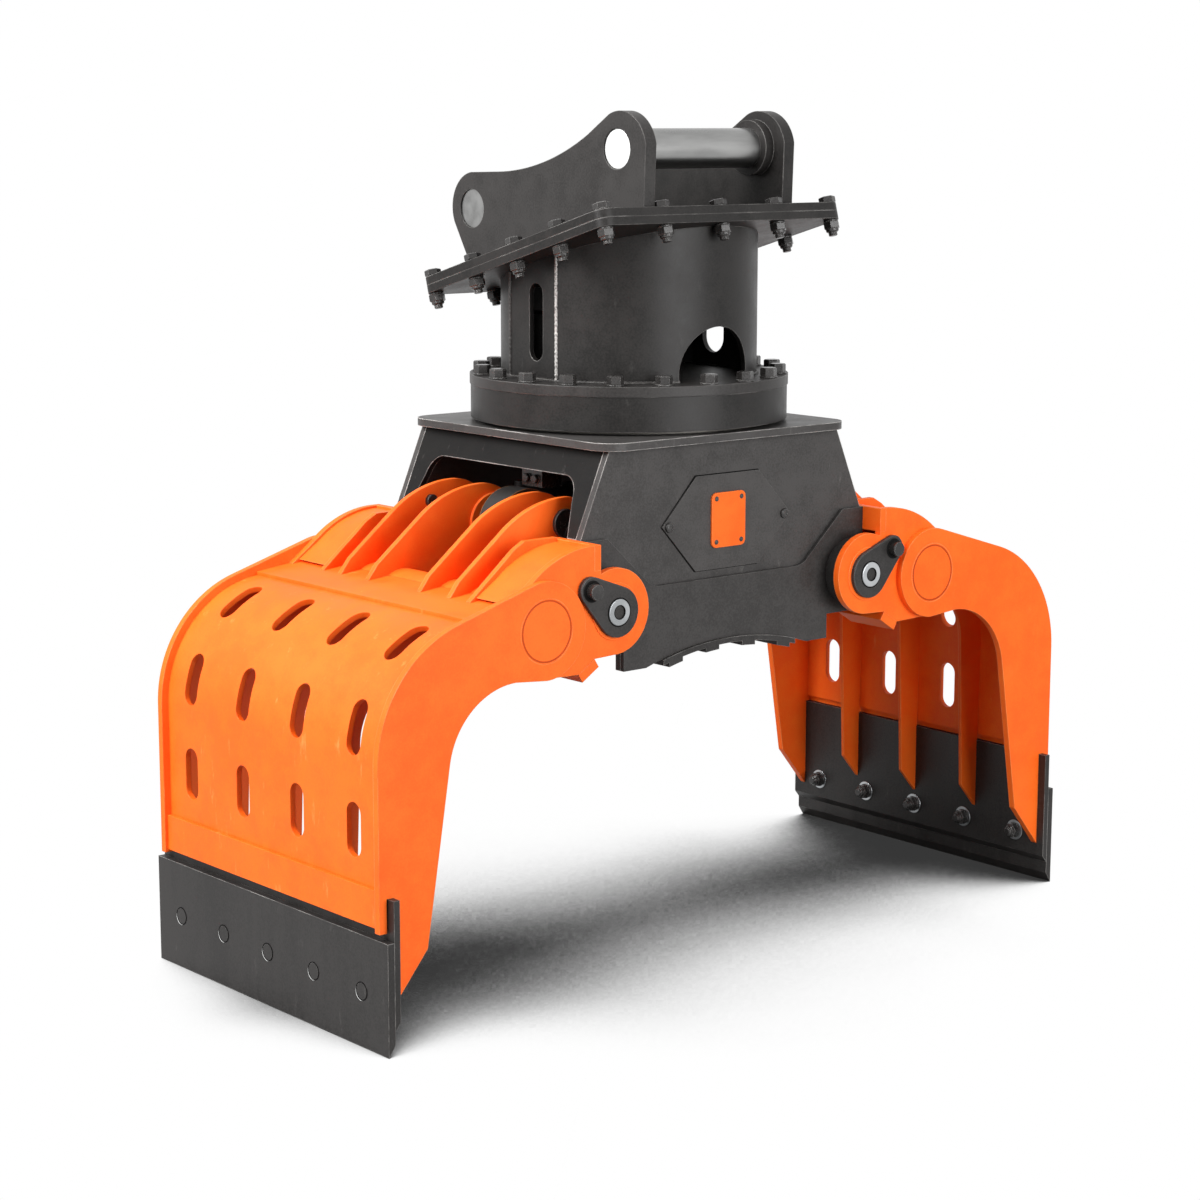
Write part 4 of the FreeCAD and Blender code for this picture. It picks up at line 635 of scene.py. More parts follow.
class Repeater:
    """Tree of Geometry Nodes that lays copies of an item on a line or a circle."""

    def __init__(self, name: str, circle: bool) -> None:
        """Build the tree.

        Args:
            name: Name of the tree.
            circle: Whether the copies stand on a circle rather than in a row.
        """
        self.circle = circle
        self.tree = bpy.data.node_groups.new(name, "GeometryNodeTree")
        self.ids: dict[str, str] = {}
        self._socket("Geometry", "NodeSocketGeometry", "OUTPUT")
        for label, kind in (
            ("Item", "NodeSocketObject"),
            ("Count", "NodeSocketInt"),
            ("Radius", "NodeSocketFloat"),
            ("Start", "NodeSocketVector"),
            ("Step", "NodeSocketVector"),
            ("Turn", "NodeSocketVector"),
            ("Finish", "NodeSocketMaterial"),
        ):
            self._socket(label, kind, "INPUT")
        self._wire()

    def _socket(self, label: str, kind: str, side: str) -> None:
        """Add one named socket to the tree."""
        item = self.tree.interface.new_socket(name=label, in_out=side, socket_type=kind)
        self.ids[label] = item.identifier

    def _add(self, kind: str, **settings: object) -> bpy.types.Node:
        """Add a node with its settings."""
        made = self.tree.nodes.new(kind)
        for key, value in settings.items():
            setattr(made, key, value)
        return made

    def _wire(self) -> None:
        """Lay points, put the item on each, make it real and give it its finish."""
        link = self.tree.links.new
        start = self._add("NodeGroupInput")
        end = self._add("NodeGroupOutput")
        info = self._add("GeometryNodeObjectInfo", transform_space="ORIGINAL")
        link(start.outputs["Item"], info.inputs["Object"])
        place = self._add("GeometryNodeInstanceOnPoints")
        if self.circle:
            points = self._add("GeometryNodeMeshCircle")
            link(start.outputs["Count"], points.inputs["Vertices"])
            link(start.outputs["Radius"], points.inputs["Radius"])
            link(points.outputs["Mesh"], place.inputs["Points"])
        else:
            points = self._add("GeometryNodeMeshLine", mode="OFFSET")
            link(start.outputs["Count"], points.inputs["Count"])
            link(start.outputs["Start"], points.inputs["Start Location"])
            link(start.outputs["Step"], points.inputs["Offset"])
            link(points.outputs["Mesh"], place.inputs["Points"])
        link(info.outputs["Geometry"], place.inputs["Instance"])
        link(start.outputs["Turn"], place.inputs["Rotation"])
        real = self._add("GeometryNodeRealizeInstances")
        shift = self._add("GeometryNodeTransform")
        link(place.outputs[0], real.inputs[0])
        if self.circle:
            link(real.outputs[0], shift.inputs["Geometry"])
            link(start.outputs["Start"], shift.inputs["Translation"])
            source = shift.outputs[0]
        else:
            source = real.outputs[0]
        paint = self._add("GeometryNodeSetMaterial")
        link(source, paint.inputs["Geometry"])
        link(start.outputs["Finish"], paint.inputs["Material"])
        link(paint.outputs[0], end.inputs["Geometry"])

    def make(self, name: str, item: bpy.types.Object, material: bpy.types.Material,
             **values: object) -> bpy.types.Object:
        """Run the tree once and keep its result as a plain mesh.

        Args:
            name: Name of the piece.
            item: Object to repeat; it is removed afterwards.
            material: Finish of the copies.
            values: Named inputs of the tree.

        Returns:
            The joined copies at the origin.
        """
        holder = bpy.data.objects.new(name + "_holder", bpy.data.meshes.new(name + "_holder"))
        bpy.context.scene.collection.objects.link(holder)
        modifier = holder.modifiers.new("repeat", "NODES")
        modifier.node_group = self.tree
        modifier[self.ids["Item"]] = item
        modifier[self.ids["Finish"]] = material
        for label, value in values.items():
            modifier[self.ids[label]] = value
        graph = bpy.context.evaluated_depsgraph_get()
        mesh = bpy.data.meshes.new_from_object(holder.evaluated_get(graph))
        bpy.data.objects.remove(holder)
        bpy.data.objects.remove(item)
        return mesh_object(name, mesh, material)


@dataclass
class Shop:
    """What every sub-assembly needs to build and dress its pieces."""

    frame: dict
    finishes: Finishes
    rows: Repeater = field(init=False)
    rings: Repeater = field(init=False)

    def __post_init__(self) -> None:
        """Build the two repeating trees."""
        self.rows = Repeater("row_of_items", circle=False)
        self.rings = Repeater("ring_of_items", circle=True)

    def dress(self, node: str, material: bpy.types.Material) -> None:
        """Give a CAD node its finish."""
        slots = self.frame["nodes"][node].material_slots
        for slot in slots:
            slot.material = material

    def keep(self, piece: bpy.types.Object, body: Body, slot: str, *nodes: str) -> bpy.types.Object:
        """Let a piece ride on its body and stand for CAD nodes.

        Args:
            piece: Finished piece.
            body: Body that carries it.
            slot: Material slot of the record; not used.
            nodes: CAD nodes that it stands for.

        Returns:
            The same piece.
        """
        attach(piece, body.value)
        if nodes:
            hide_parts(*nodes)
        LOG.info("%s rides on %s", piece.name, body.value)
        return piece


# Sub-assemblies


@dataclass
class Fasteners:
    """Hexagon bolts, nuts and screws in the sizes of the part."""

    shop: Shop

    def bolt(self, name: str, across: float, head: float, washer: float, washer_thick: float,
             tip: float = 0.0) -> bpy.types.Object:
        """Bolt head on its washer, looking up from the origin.

        Args:
            name: Name of the item.
            across: Width across flats.
            head: Height of the head.
            washer: Radius of the washer.
            washer_thick: Thickness of the washer.
            tip: Length of a thread end above the head, for a nut.

        Returns:
            The item at the origin.
        """
        form = bmesh.new()
        edge = washer_thick * 0.25
        revolve(form, [(washer - edge, 0), (washer, edge), (washer, washer_thick - edge),
                       (washer - edge, washer_thick)], 24)
        hex_head(form, across, head, washer_thick)
        if tip:
            base = washer_thick + head
            self.thread(form, across * 0.33, base - 0.001, base + tip)
        return from_bmesh(name, form, self.shop.finishes.fastener)

    def nut(self, name: str, across: float, height: float, washer: float, washer_thick: float,
            tip: float) -> bpy.types.Object:
        """Locking nut with a rounded collar and the bolt's thread end."""
        form = bmesh.new()
        edge = washer_thick * 0.25
        revolve(form, [(washer - edge, 0), (washer, edge), (washer, washer_thick - edge),
                       (washer - edge, washer_thick)], 24)
        hex_head(form, across, height * 0.7, washer_thick)
        collar = across * 0.44
        base = washer_thick + height * 0.68
        turned = [(collar, base), (collar, base + height * 0.22), (collar * 0.82, base + height * 0.32)]
        revolve(form, turned, 24)
        self.thread(form, across * 0.31, base + height * 0.2, base + height * 0.32 + tip)
        return from_bmesh(name, form, self.shop.finishes.fastener)

    @staticmethod
    def thread(form: bmesh.types.BMesh, radius: float, low: float, high: float) -> None:
        """Add a thread end as fine ridges with a chamfered tip."""
        pitch = 0.0025
        count = max(2, round((high - low) / pitch))
        profile = []
        for index in range(count):
            level = low + (high - low) * index / count
            profile.append((radius * 0.93, level))
            profile.append((radius, level + (high - low) / count * 0.5))
        profile.append((radius * 0.8, high))
        revolve(form, profile, 18)


@dataclass
class SlewFrame:
    """Frame between the shells and the slewing ring."""

    shop: Shop
    side_face: float = 0.303
    cover_face: float = 0.307
    cover_mid: float = 0.904
    cover_outline: tuple[tuple[float, float], ...] = (
        (0.086, 0.808), (0.1755, 0.9055), (0.086, 1.0), (-0.086, 1.0), (-0.1755, 0.9055), (-0.086, 0.808))
    plate_mid: float = 0.907
    plate_half: tuple[float, float] = (0.046, 0.056)
    plate_corner: float = 0.012
    screw_x: float = 0.158
    screw_z: float = 0.904
    block_mid: Point = (-0.250, -0.020, 0.980)

    def build(self) -> None:
        """Dress the frame and add what lies on it."""
        finishes = self.shop.finishes
        # Frame sides and top plate take the finish whose light edges are partly a painted highlight.
        for node in ("frame_side_front", "frame_side_rear", "frame_top_plate"):
            self.shop.dress(node, finishes.rubbed_and_highlit)
        # End plates take the darker black as painted shade under the overhang.
        for node in ("frame_end_left", "frame_end_right"):
            self.shop.dress(node, finishes.end)
        self.shop.dress("frame_covers", finishes.cover)
        for node in ("frame_doubler_front", "frame_doubler_rear"):
            self.shop.dress(node, finishes.doubler)
        self.shop.dress("belly", finishes.blade)
        self.shop.dress("pivot_bosses", finishes.black)
        self.shop.dress("ring_inner", finishes.gear)
        self.front_plate()
        self.cover_screws()
        self.cover_seams()
        self.hose_block()

    def front_plate(self) -> None:
        """Plain orange plate with a rivet in each corner, on the front cover."""
        finishes = self.shop.finishes
        form = bmesh.new()
        rings = []
        for depth, shrink in ((0.0, 0.0), (-0.0035, 0.0), (-0.0045, 0.001)):
            rings.append([(x, -self.cover_face + depth, self.plate_mid + z) for x, z in self._oblong(shrink)])
        loft(form, rings)
        plate = from_bmesh("front_plate", form, finishes.orange)
        self.shop.keep(plate, Body.FRAME, "orange_paint")
        form = bmesh.new()
        far_x, far_z = (half - self.plate_corner for half in self.plate_half)
        for x in (-far_x, far_x):
            for z in (-far_z, far_z):
                face = along((0.0, -1.0, 0.0), (x, -self.cover_face - 0.004, self.plate_mid + z))
                revolve(form, [(0.0052, 0.0), (0.0052, 0.001), (0.0038, 0.0024), (0.0015, 0.003)], 20, face)
        rivets = from_bmesh("front_plate_rivets", form, finishes.cover)
        self.shop.keep(rivets, Body.FRAME, "black_paint")

    def _oblong(self, shrink: float) -> list[tuple[float, float]]:
        """Outline of the front plate with round corners."""
        wide, high = (half - shrink for half in self.plate_half)
        corner = self.plate_corner - shrink
        points = []
        for quarter, (sx, sz) in enumerate(((1, 1), (-1, 1), (-1, -1), (1, -1))):
            for step in range(7):
                angle = math.pi / 2 * (quarter + step / 6)
                points.append((sx * (wide - corner) + corner * math.cos(angle),
                               sz * (high - corner) + corner * math.sin(angle)))
        return points

    def cover_screws(self) -> None:
        """Button-head screws that hold both covers."""
        form = bmesh.new()
        for sign in (-1.0, 1.0):
            for x in (-self.screw_x, self.screw_x):
                face = along((0.0, sign, 0.0), (x, sign * self.cover_face, self.screw_z))
                revolve(form, [(0.0105, -0.001), (0.0105, 0.002), (0.0098, 0.004), (0.0075, 0.0058),
                               (0.0045, 0.0062), (0.0042, 0.0035)], 28, face)
        self.shop.keep(from_bmesh("cover_screws", form, self.shop.finishes.fastener), Body.FRAME, "fastener")

    def cover_seams(self) -> None:
        """Dark seam round each hexagonal cover."""
        form = bmesh.new()
        for sign in (-1.0, 1.0):
            rows = []
            for grow, depth in ((-0.001, -0.001), (-0.001, 0.0004), (0.0018, 0.0004), (0.0018, -0.001)):
                level = sign * (self.side_face + depth)
                wide = 1.0 + grow / self.cover_outline[1][0]
                row = [(x * wide, level, self.cover_mid + (z - self.cover_mid) * (1.0 + grow / 0.09))
                       for x, z in self.cover_outline]
                rows.append([form.verts.new(point) for point in row])
            for low, high in zip(rows, rows[1:] + rows[:1]):
                for index in range(len(low)):
                    after = (index + 1) % len(low)
                    form.faces.new((low[index], low[after], high[after], high[index]))
        self.shop.keep(from_bmesh("cover_seams", form, self.shop.finishes.gap), Body.FRAME, "black_paint")

    def hose_block(self) -> None:
        """Port block under the top plate, seen through the left window."""
        form = bmesh.new()
        x, y, z = self.block_mid
        rings = []
        for level, grow in ((-0.014, -0.002), (-0.012, 0.0), (0.024, 0.0)):
            wide, deep = 0.026 + grow, 0.032 + grow
            rings.append([(x + sx * wide, y + sy * deep, z + level)
                          for sx, sy in ((1, 1), (-1, 1), (-1, -1), (1, -1))])
        loft(form, rings)
        for offset in (-0.014, 0.014):
            face = along((-1.0, 0.0, 0.0), (x - 0.025, y + offset, z + 0.004))
            revolve(form, [(0.009, 0.0), (0.009, 0.008), (0.0075, 0.0095)], 20, face)
        self.shop.keep(from_bmesh("hose_block", form, self.shop.finishes.fastener), Body.FRAME, "fastener")


@dataclass
class Head:
    """Slewing table, neck, tilted plates and ears."""

    shop: Shop
    table_top: float = 1.1828
    bolt_circle: float = 0.310
    bolt_phase: float = 8.3
    bolt_count: int = 20
    corner_weld: float = 0.0034
    foot_weld: float = 0.0038
    ear_weld: float = 0.0035
    tilt: float = 15.56
    plate_y: float = -0.002
    plate_z: float = 1.4546
    half_x: float = 0.3244
    half_y: float = 0.3017
    inset: float = 0.020
    plates: float = 0.034
    neck_radius: float = 0.2665
    neck_flat: float = 0.256

    def build(self) -> None:
        """Dress the head and add its fasteners and welds."""
        finishes = self.shop.finishes
        for node in ("slew_table", "ear_left", "slew_motor"):
            self.shop.dress(node, finishes.black)
        # These parts take the darker black as painted shade; the right ear's inner face sits in the left
        # ear's shade.
        for node in ("ring_outer", "neck", "head_adapter", "head_flange", "ear_right"):
            self.shop.dress(node, finishes.neck)
        for node in ("stick_pin_front", "stick_pin_rear"):
            self.shop.dress(node, finishes.pin)
        self.pin_face()
        self.shop.dress("slew_pinion", finishes.gear)
        self.ring_bolts()
        self.plate_bolts()
        self.welds()

    def ring_bolts(self) -> None:
        """Bolts round the slewing table."""
        item = Fasteners(self.shop).bolt("ring_bolt", 0.030, 0.0175, 0.0185, 0.003)
        made = self.shop.rings.make("ring_bolt_heads", item, self.shop.finishes.fastener,
                                    Count=self.bolt_count, Radius=self.bolt_circle,
                                    Start=(0.0, 0.0, self.table_top), Turn=(0.0, 0.0, 0.3))
        made.data.transform(Matrix.Rotation(math.radians(self.bolt_phase), 4, "Z"))
        self.shop.keep(made, Body.HEAD, "fastener", "ring_bolts")

    def pin_face(self) -> None:
        """Turned ends of the front stick pin, near white as a painted reflection of the white surroundings.
        """
        form = bmesh.new()
        box = self.shop.frame["nodes"]["stick_pin_front"].bound_box
        corners = [Vector(corner) for corner in box]
        mid = sum(corners, Vector()) / len(corners)
        reach = max(corner.x for corner in corners) - mid.x
        radius = max(corner.z for corner in corners) - mid.z - 0.0015
        for sign in (-1.0, 1.0):
            face = along((sign, 0.0, 0.0), (mid.x + sign * reach, mid.y, mid.z))
            profile = [(radius, -0.001), (radius, 0.0002), (radius - 0.0008, 0.0005)]
            revolve(form, profile, 48, face)
        made = from_bmesh("front_pin_faces", form, self.shop.finishes.pin_face)
        self.shop.keep(made, Body.HEAD, "bright_steel")

    def plane(self) -> Matrix:
        """Place of the tilted plates' upper face."""
        return (Matrix.Translation((0.0, self.plate_y, self.plate_z))
                @ Matrix.Rotation(math.radians(-self.tilt), 4, "X"))

    def rows(self) -> list[tuple[Point, Point, int]]:
        """Start, step and count of each straight row of bolts."""
        far_x = self.half_x - self.inset
        far_y = self.half_y - self.inset
        return [
            ((-far_x, -far_y, 0.0), (far_x / 2, 0.0, 0.0), 5),
            ((-far_x, far_y, 0.0), (far_x / 2, 0.0, 0.0), 2),
            ((far_x / 2, far_y, 0.0), (far_x / 2, 0.0, 0.0), 2),
            ((-far_x, -far_y / 2, 0.0), (0.0, far_y / 2, 0.0), 3),
            ((far_x, -far_y / 2, 0.0), (0.0, far_y / 2, 0.0), 3),
        ]

    def plate_bolts(self) -> None:
        """Bolts through the two tilted plates, heads above and nuts below."""
        fasteners = Fasteners(self.shop)
        pieces = []
        for index, (start, step, count) in enumerate(self.rows()):
            head = fasteners.bolt("plate_bolt", 0.030, 0.0125, 0.0155, 0.0025)
            pieces.append(self.shop.rows.make("plate_heads_%d" % index, head, self.shop.finishes.fastener,
                                              Count=count, Start=start, Step=step, Turn=(0.0, 0.0, 0.4)))
            nut = fasteners.nut("plate_nut", 0.030, 0.021, 0.0155, 0.004, 0.008)
            nut.data.transform(Matrix.Rotation(math.pi, 4, "X"))
            below = (start[0], start[1], -self.plates)
            pieces.append(self.shop.rows.make("plate_nuts_%d" % index, nut, self.shop.finishes.fastener,
                                              Count=count, Start=below, Step=step, Turn=(0.0, 0.0, 0.7)))
        joined = join("head_bolt_set", pieces)
        joined.data.transform(self.plane())
        self.shop.keep(joined, Body.HEAD, "fastener", "head_bolts")

    def welds(self) -> None:
        """Beads at the neck's foot and along its flats' corners."""
        side = math.sqrt(self.neck_radius ** 2 - self.neck_flat ** 2)
        slope = math.tan(math.radians(self.tilt))
        top = self.plate_z - self.plates / math.cos(math.radians(self.tilt))
        corners, beads = [], []
        for x in (-self.neck_flat, self.neck_flat):
            for y in (-side, side):
                high = top - (y - self.plate_y) * slope
                path = [(x, y, self.table_top + 0.002), (x, y, high - 0.003)]
                # Front corner beads take the light weld finish, partly rubbed metal and partly painted
                # highlight.
                if y < 0:
                    corners.append(bead("corner", path, self.corner_weld, self.shop.finishes.weld))
                else:
                    beads.append(bead("corner", path, self.corner_weld, self.shop.finishes.black))
        self.shop.keep(join("neck_corner_welds", corners), Body.HEAD, "black_paint")
        limit = math.atan2(side, self.neck_flat)
        for turn in (0.0, math.pi):
            round_wall = arc((0.0, 0.0), self.neck_radius, turn + limit, turn + math.pi - limit, 40)
            path = [(x, y, self.table_top + 0.001) for x, y in round_wall]
            runs = [path]
            if turn:
                path = [point for point in path if not -0.09 < point[0] - 0.009 < 0.09]
                runs = [[point for point in path if point[0] < 0], [point for point in path if point[0] > 0]]
            beads.extend(bead("foot", run, self.foot_weld, self.shop.finishes.black) for run in runs)
        for x in (-self.neck_flat, self.neck_flat):
            path = [(x, -side, self.table_top + 0.001), (x, side, self.table_top + 0.001)]
            beads.append(bead("foot", path, self.foot_weld, self.shop.finishes.black))
        for x in (-0.2, -0.172, 0.172, 0.2):
            low = self.plane() @ Vector((x, -0.27, 0.001))
            high = self.plane() @ Vector((x, 0.28, 0.001))
            beads.append(bead("ear_foot", [low, high], self.ear_weld, self.shop.finishes.black))
        self.shop.keep(join("head_welds", beads), Body.HEAD, "black_paint")


def join(name: str, pieces: Iterable[bpy.types.Object]) -> bpy.types.Object:
    """Join pieces that share a body and a finish into one mesh."""
    parts = list(pieces)
    form = bmesh.new()
    for part in parts:
        form.from_mesh(part.data)
    material = parts[0].data.materials[0]
    smooth = parts[0].data.polygons[0].use_smooth if parts[0].data.polygons else False
    mesh = bpy.data.meshes.new(name)
    form.to_mesh(mesh)
    form.free()
    for part in parts:
        bpy.data.objects.remove(part)
    made = mesh_object(name, mesh, material)
    if smooth:
        made.data.shade_smooth()
    return made


@dataclass
class Shell:
    """One shell with its hinge boxes, ribs and bolted blade."""

    shop: Shop
    side: str
    pivot: Point = (0.3467, 0.0, 0.765)
    plow_z: float = 0.109
    plow_pitch: float = 0.1575
    blade_face: float = 0.5748
    backing_face: float = 0.5468
    keeper_face: float = 0.365
    tail: tuple[float, float] = (0.0673, 0.048)
    tube: tuple[float, float] = (0.1829, -0.0151)
    tube_radius: float = 0.063
    shell_half: float = 0.380
    back: tuple[float, float] = (0.3223, -0.225)
    back_radius: float = 0.229
    backing_top: float = -0.468
    seam: float = 0.3463
    rib_pitch: float = 0.189
    rib_half: float = 0.004
    rib_throat: tuple[float, float] = (0.3645, -0.224)
    rib_radius: float = 0.12
    rib_root: tuple[tuple[float, float], ...] = ((0.2573, -0.104), (0.2274, -0.0596), (0.2445, -0.0151),
                                                 (0.2325, 0.0245), (0.3463, 0.0125))
    rib_knee: tuple[float, float] = (0.4985, -0.567)
    rib_tip: float = -0.6225
    recess: Point = (0.0157, 0.0215, 0.0005)
    groove: tuple[float, float] = (0.0058, 0.0026)

    @property
    def body(self) -> Body:
        """Body of this shell."""
        return Body.LEFT_SHELL if self.side == "left" else Body.RIGHT_SHELL

    @property
    def place(self) -> Matrix:
        """Place of the shell's pivot, turned outward."""
        turn = math.pi if self.side == "left" else 0.0
        sign = -1.0 if self.side == "left" else 1.0
        where = (sign * self.pivot[0], self.pivot[1], self.pivot[2])
        return Matrix.Translation(where) @ Matrix.Rotation(turn, 4, "Z")

    def build(self) -> None:
        """Dress the shell and add its fasteners."""
        finishes = self.shop.finishes
        for node in ("side_front", "side_rear", "cross_tube", "hinge_outer", "hinge_inner", "hinge_covers",
                     "stops"):
            self.shop.dress("%s_%s" % (self.side, node), finishes.orange)
        for node in ("back_plate", "back_strips"):
            self.shop.dress("%s_%s" % (self.side, node), finishes.back)
        for node in ("blade", "backing_plate"):
            self.shop.dress("%s_%s" % (self.side, node), finishes.blade)
        self.shop.dress(self.side + "_lug_ribs", finishes.lug)
        self.shop.dress(self.side + "_pins", finishes.fastener)
        self.ribs()
        self.plow_bolts()
        self.keepers()
        self.tube_groove_shades()
        if self.side == "left":
            self.rib_pin()

    def ribs(self) -> None:
        """Three inner ribs with a round throat, from the cross tube down to the backing plate."""
        lap = 0.002
        reach = self.back_radius + lap
        crown = math.acos((self.seam - self.back[0]) / reach)
        face = self.backing_face
        outline = [(face, self.rib_tip), (face + lap, self.rib_tip + lap), (face + lap, self.backing_top)]
        outline += arc(self.back, reach, 0.0, crown, 16)
        outline += reversed(self.rib_root)
        outline += arc(self.rib_throat, self.rib_radius, math.pi / 2, 0.0, 16)
        outline.append(self.rib_knee)
        form = bmesh.new()
        for middle in (-self.rib_pitch, 0.0, self.rib_pitch):
            faces = (middle - self.rib_half, middle + self.rib_half)
            loft(form, [[(x, y, z) for x, z in outline] for y in faces])
        made = from_bmesh(self.side + "_rib_plates", form, self.shop.finishes.orange)
        made.data.transform(self.place)
        self.shop.keep(made, self.body, "orange_paint", self.side + "_inner_ribs")

    def plow_bolts(self) -> None:
        """Flush bolt heads outside and nuts with thread ends inside."""
        nut = Fasteners(self.shop).nut("plow_nut", 0.030, 0.018, 0.0175, 0.004, 0.006)
        nut.data.transform(Matrix.Rotation(-math.pi / 2, 4, "Y"))
        start = (self.backing_face, -2 * self.plow_pitch, self.plow_z - self.pivot[2])
        step = (0.0, self.plow_pitch, 0.0)
        nuts = self.shop.rows.make(self.side + "_nuts", nut, self.shop.finishes.fastener,
                                   Count=5, Start=start, Step=step, Turn=(0.4, 0.0, 0.0))
        nuts.data.transform(self.place)
        self.shop.keep(nuts, self.body, "fastener", self.side + "_plow_nuts")
        form = bmesh.new()
        revolve(form, [(0.0165, -0.004), (0.0165, 0.0002), (0.0158, 0.0006)], 32)
        head = from_bmesh("plow_head", form, self.shop.finishes.blade)
        head.data.transform(Matrix.Rotation(math.pi / 2, 4, "Y"))
        start = (self.blade_face, start[1], start[2])
        heads = self.shop.rows.make(self.side + "_bolt_faces", head, self.shop.finishes.blade,
                                    Count=5, Start=start, Step=step)
        heads.data.transform(self.place)
        self.shop.keep(heads, self.body, "wear_steel")
        gap = bmesh.new()
        ring_solid(gap, [(0.0160, -0.001), (0.0160, 0.0008), (0.0181, 0.0008), (0.0181, -0.001)], 40)
        # Light crescent on one side of each bolt rim: painted highlight where the countersink's wall catches
        # the light.
        rim_highlight = bmesh.new()
        crescent(rim_highlight, 0.0181, 0.0200, math.radians(-110), math.radians(15))
        washer = bmesh.new()
        revolve(washer, [(0.0225, 0.0), (0.023, 0.0005), (0.023, 0.0015), (0.0225, 0.002)], 32)
        finishes = self.shop.finishes
        for name, form, finish, face, slot in (
            ("bolt_gaps", gap, finishes.gap, self.blade_face, "wear_steel"),
            ("bolt_lips", rim_highlight, finishes.pin_face, self.blade_face, "wear_steel"),
            ("bolt_washers", washer, finishes.zinc, self.backing_face, "bright_steel"),
        ):
            item = from_bmesh(name, form, finish)
            turn = -math.pi / 2 if name == "bolt_washers" else math.pi / 2
            item.data.transform(Matrix.Rotation(turn, 4, "Y"))
            made = self.shop.rows.make("%s_%s" % (self.side, name), item, finish, Count=5,
                                       Start=(face, start[1], start[2]), Step=step)
            made.data.transform(self.place)
            self.shop.keep(made, self.body, slot)

    def rib_pin(self) -> None:
        """Small dark stop pin through the rear lug rib and a larger one on the front rib."""
        form = bmesh.new()
        face = along((0.0, -1.0, 0.0), (-0.387, 0.192, 0.927))
        revolve(form, [(0.0125, 0.0), (0.0135, 0.001), (0.0135, 0.0235), (0.0122, 0.025)], 28, face)
        face = along((0.0, -1.0, 0.0), (-0.330, -0.187, 0.916))
        revolve(form, [(0.029, 0.0), (0.029, 0.0075), (0.0278, 0.0088)], 40, face)
        self.shop.keep(from_bmesh("left_rib_pin", form, self.shop.finishes.fastener), self.body, "fastener")

    def tube_groove_shades(self) -> None:
        """Darker orange ring round each end of the cross tube: painted shade of a narrow groove that the mesh
        does not cut.
        """
        form = bmesh.new()
        low, high = (self.tube_radius - inset for inset in self.groove)
        section = [(low, -0.001), (low, 0.0003), (high, 0.0003), (high, -0.001)]
        for sign in (-1.0, 1.0):
            where = along((0.0, sign, 0.0), (self.tube[0], sign * self.shell_half, self.tube[1]))
            ring_solid(form, section, 64, where)
        made = from_bmesh(self.side + "_tube_grooves", form, self.shop.finishes.shade)
        made.data.transform(self.place)
        self.shop.keep(made, self.body, "orange_paint")

    def keepers(self) -> None:
        """Teardrop keeper plates, their zinc screws and tail bolts on both faces."""
        plates, rings, screws, bolts, gaps_and_recess_shade = [], [], [], [], []
        finishes = self.shop.finishes
        for sign in (-1.0, 1.0):
            form = bmesh.new()
            loft(form, self._teardrop(sign))
            plates.append(from_bmesh("keeper", form, finishes.black))
            form = bmesh.new()
            face = along((0.0, sign, 0.0), (0.0, sign * self.keeper_face, 0.0))
            revolve(form, [(0.057, -0.001), (0.057, 0.0015), (0.056, 0.002)], 48, face)
            rings.append(from_bmesh("ring", form, finishes.orange))
            form = bmesh.new()
            face = along((0.0, sign, 0.0), (0.0, sign * (self.keeper_face + 0.011), 0.0))
            self._screw(form, face)
            screws.append(from_bmesh("screw", form, finishes.zinc))
            form = bmesh.new()
            # Outer ring: dark joint round the screw; inner ring: painted shade on the socket recess wall.
            for low, high, level in ((0.0262, 0.0288, 0.0006), (0.0128, 0.0145, 0.0024)):
                ring_solid(form, [(low, -0.002), (low, level), (high, level), (high, -0.002)], 48, face)
            gaps_and_recess_shade.append(from_bmesh("gap", form, finishes.gap))
            form = bmesh.new()
            where = (self.tail[0], sign * (self.keeper_face + 0.011), self.tail[1])
            face = along((0.0, sign, 0.0), where)
            revolve(form, [(0.0155, -0.002), (0.0155, 0.0155), (0.0142, 0.017)], 32, face)
            bolts.append(from_bmesh("tail", form, finishes.fastener))
            form = bmesh.new()
            low, high, level = self.recess
            ring_solid(form, [(low, -0.001), (low, level), (high, level), (high, -0.001)], 40, face)
            gaps_and_recess_shade.append(from_bmesh("recess", form, finishes.gap))
        sets = (("keeper_plates", plates, "black_paint", (self.side + "_keepers",)),
                ("keeper_rings", rings, "orange_paint", ()),
                ("keeper_screws", screws, "bright_steel", ()), ("keeper_bolts", bolts, "fastener", ()),
                ("keeper_gaps", gaps_and_recess_shade, "black_paint", ()))
        for name, pieces, slot, nodes in sets:
            made = join("%s_%s" % (self.side, name), pieces)
            made.data.transform(self.place)
            self.shop.keep(made, self.body, slot, *nodes)

    @staticmethod
    def _screw(form: bmesh.types.BMesh, face: Matrix) -> None:
        """Countersunk screw with a hexagon socket."""
        outer, inner = 0.0262, 0.0130
        sides = 48
        shape = [(outer, -0.002), (outer, 0.0012), (outer - 0.001, 0.0022), (inner + 0.001, 0.0022),
                 (inner, -0.0002)]
        rings = [polygon(radius, sides, height) for radius, height in shape]
        socket = []
        for index in range(sides):
            angle = 2 * math.pi * index / sides
            reach = 0.0082 * math.cos(math.pi / 6) / math.cos((angle % (math.pi / 3)) - math.pi / 6)
            socket.append((reach * math.cos(angle), reach * math.sin(angle)))
        rings.append([(x, y, -0.0002) for x, y in socket])
        rings.append([(x, y, -0.0055) for x, y in socket])
        loft(form, rings, face)

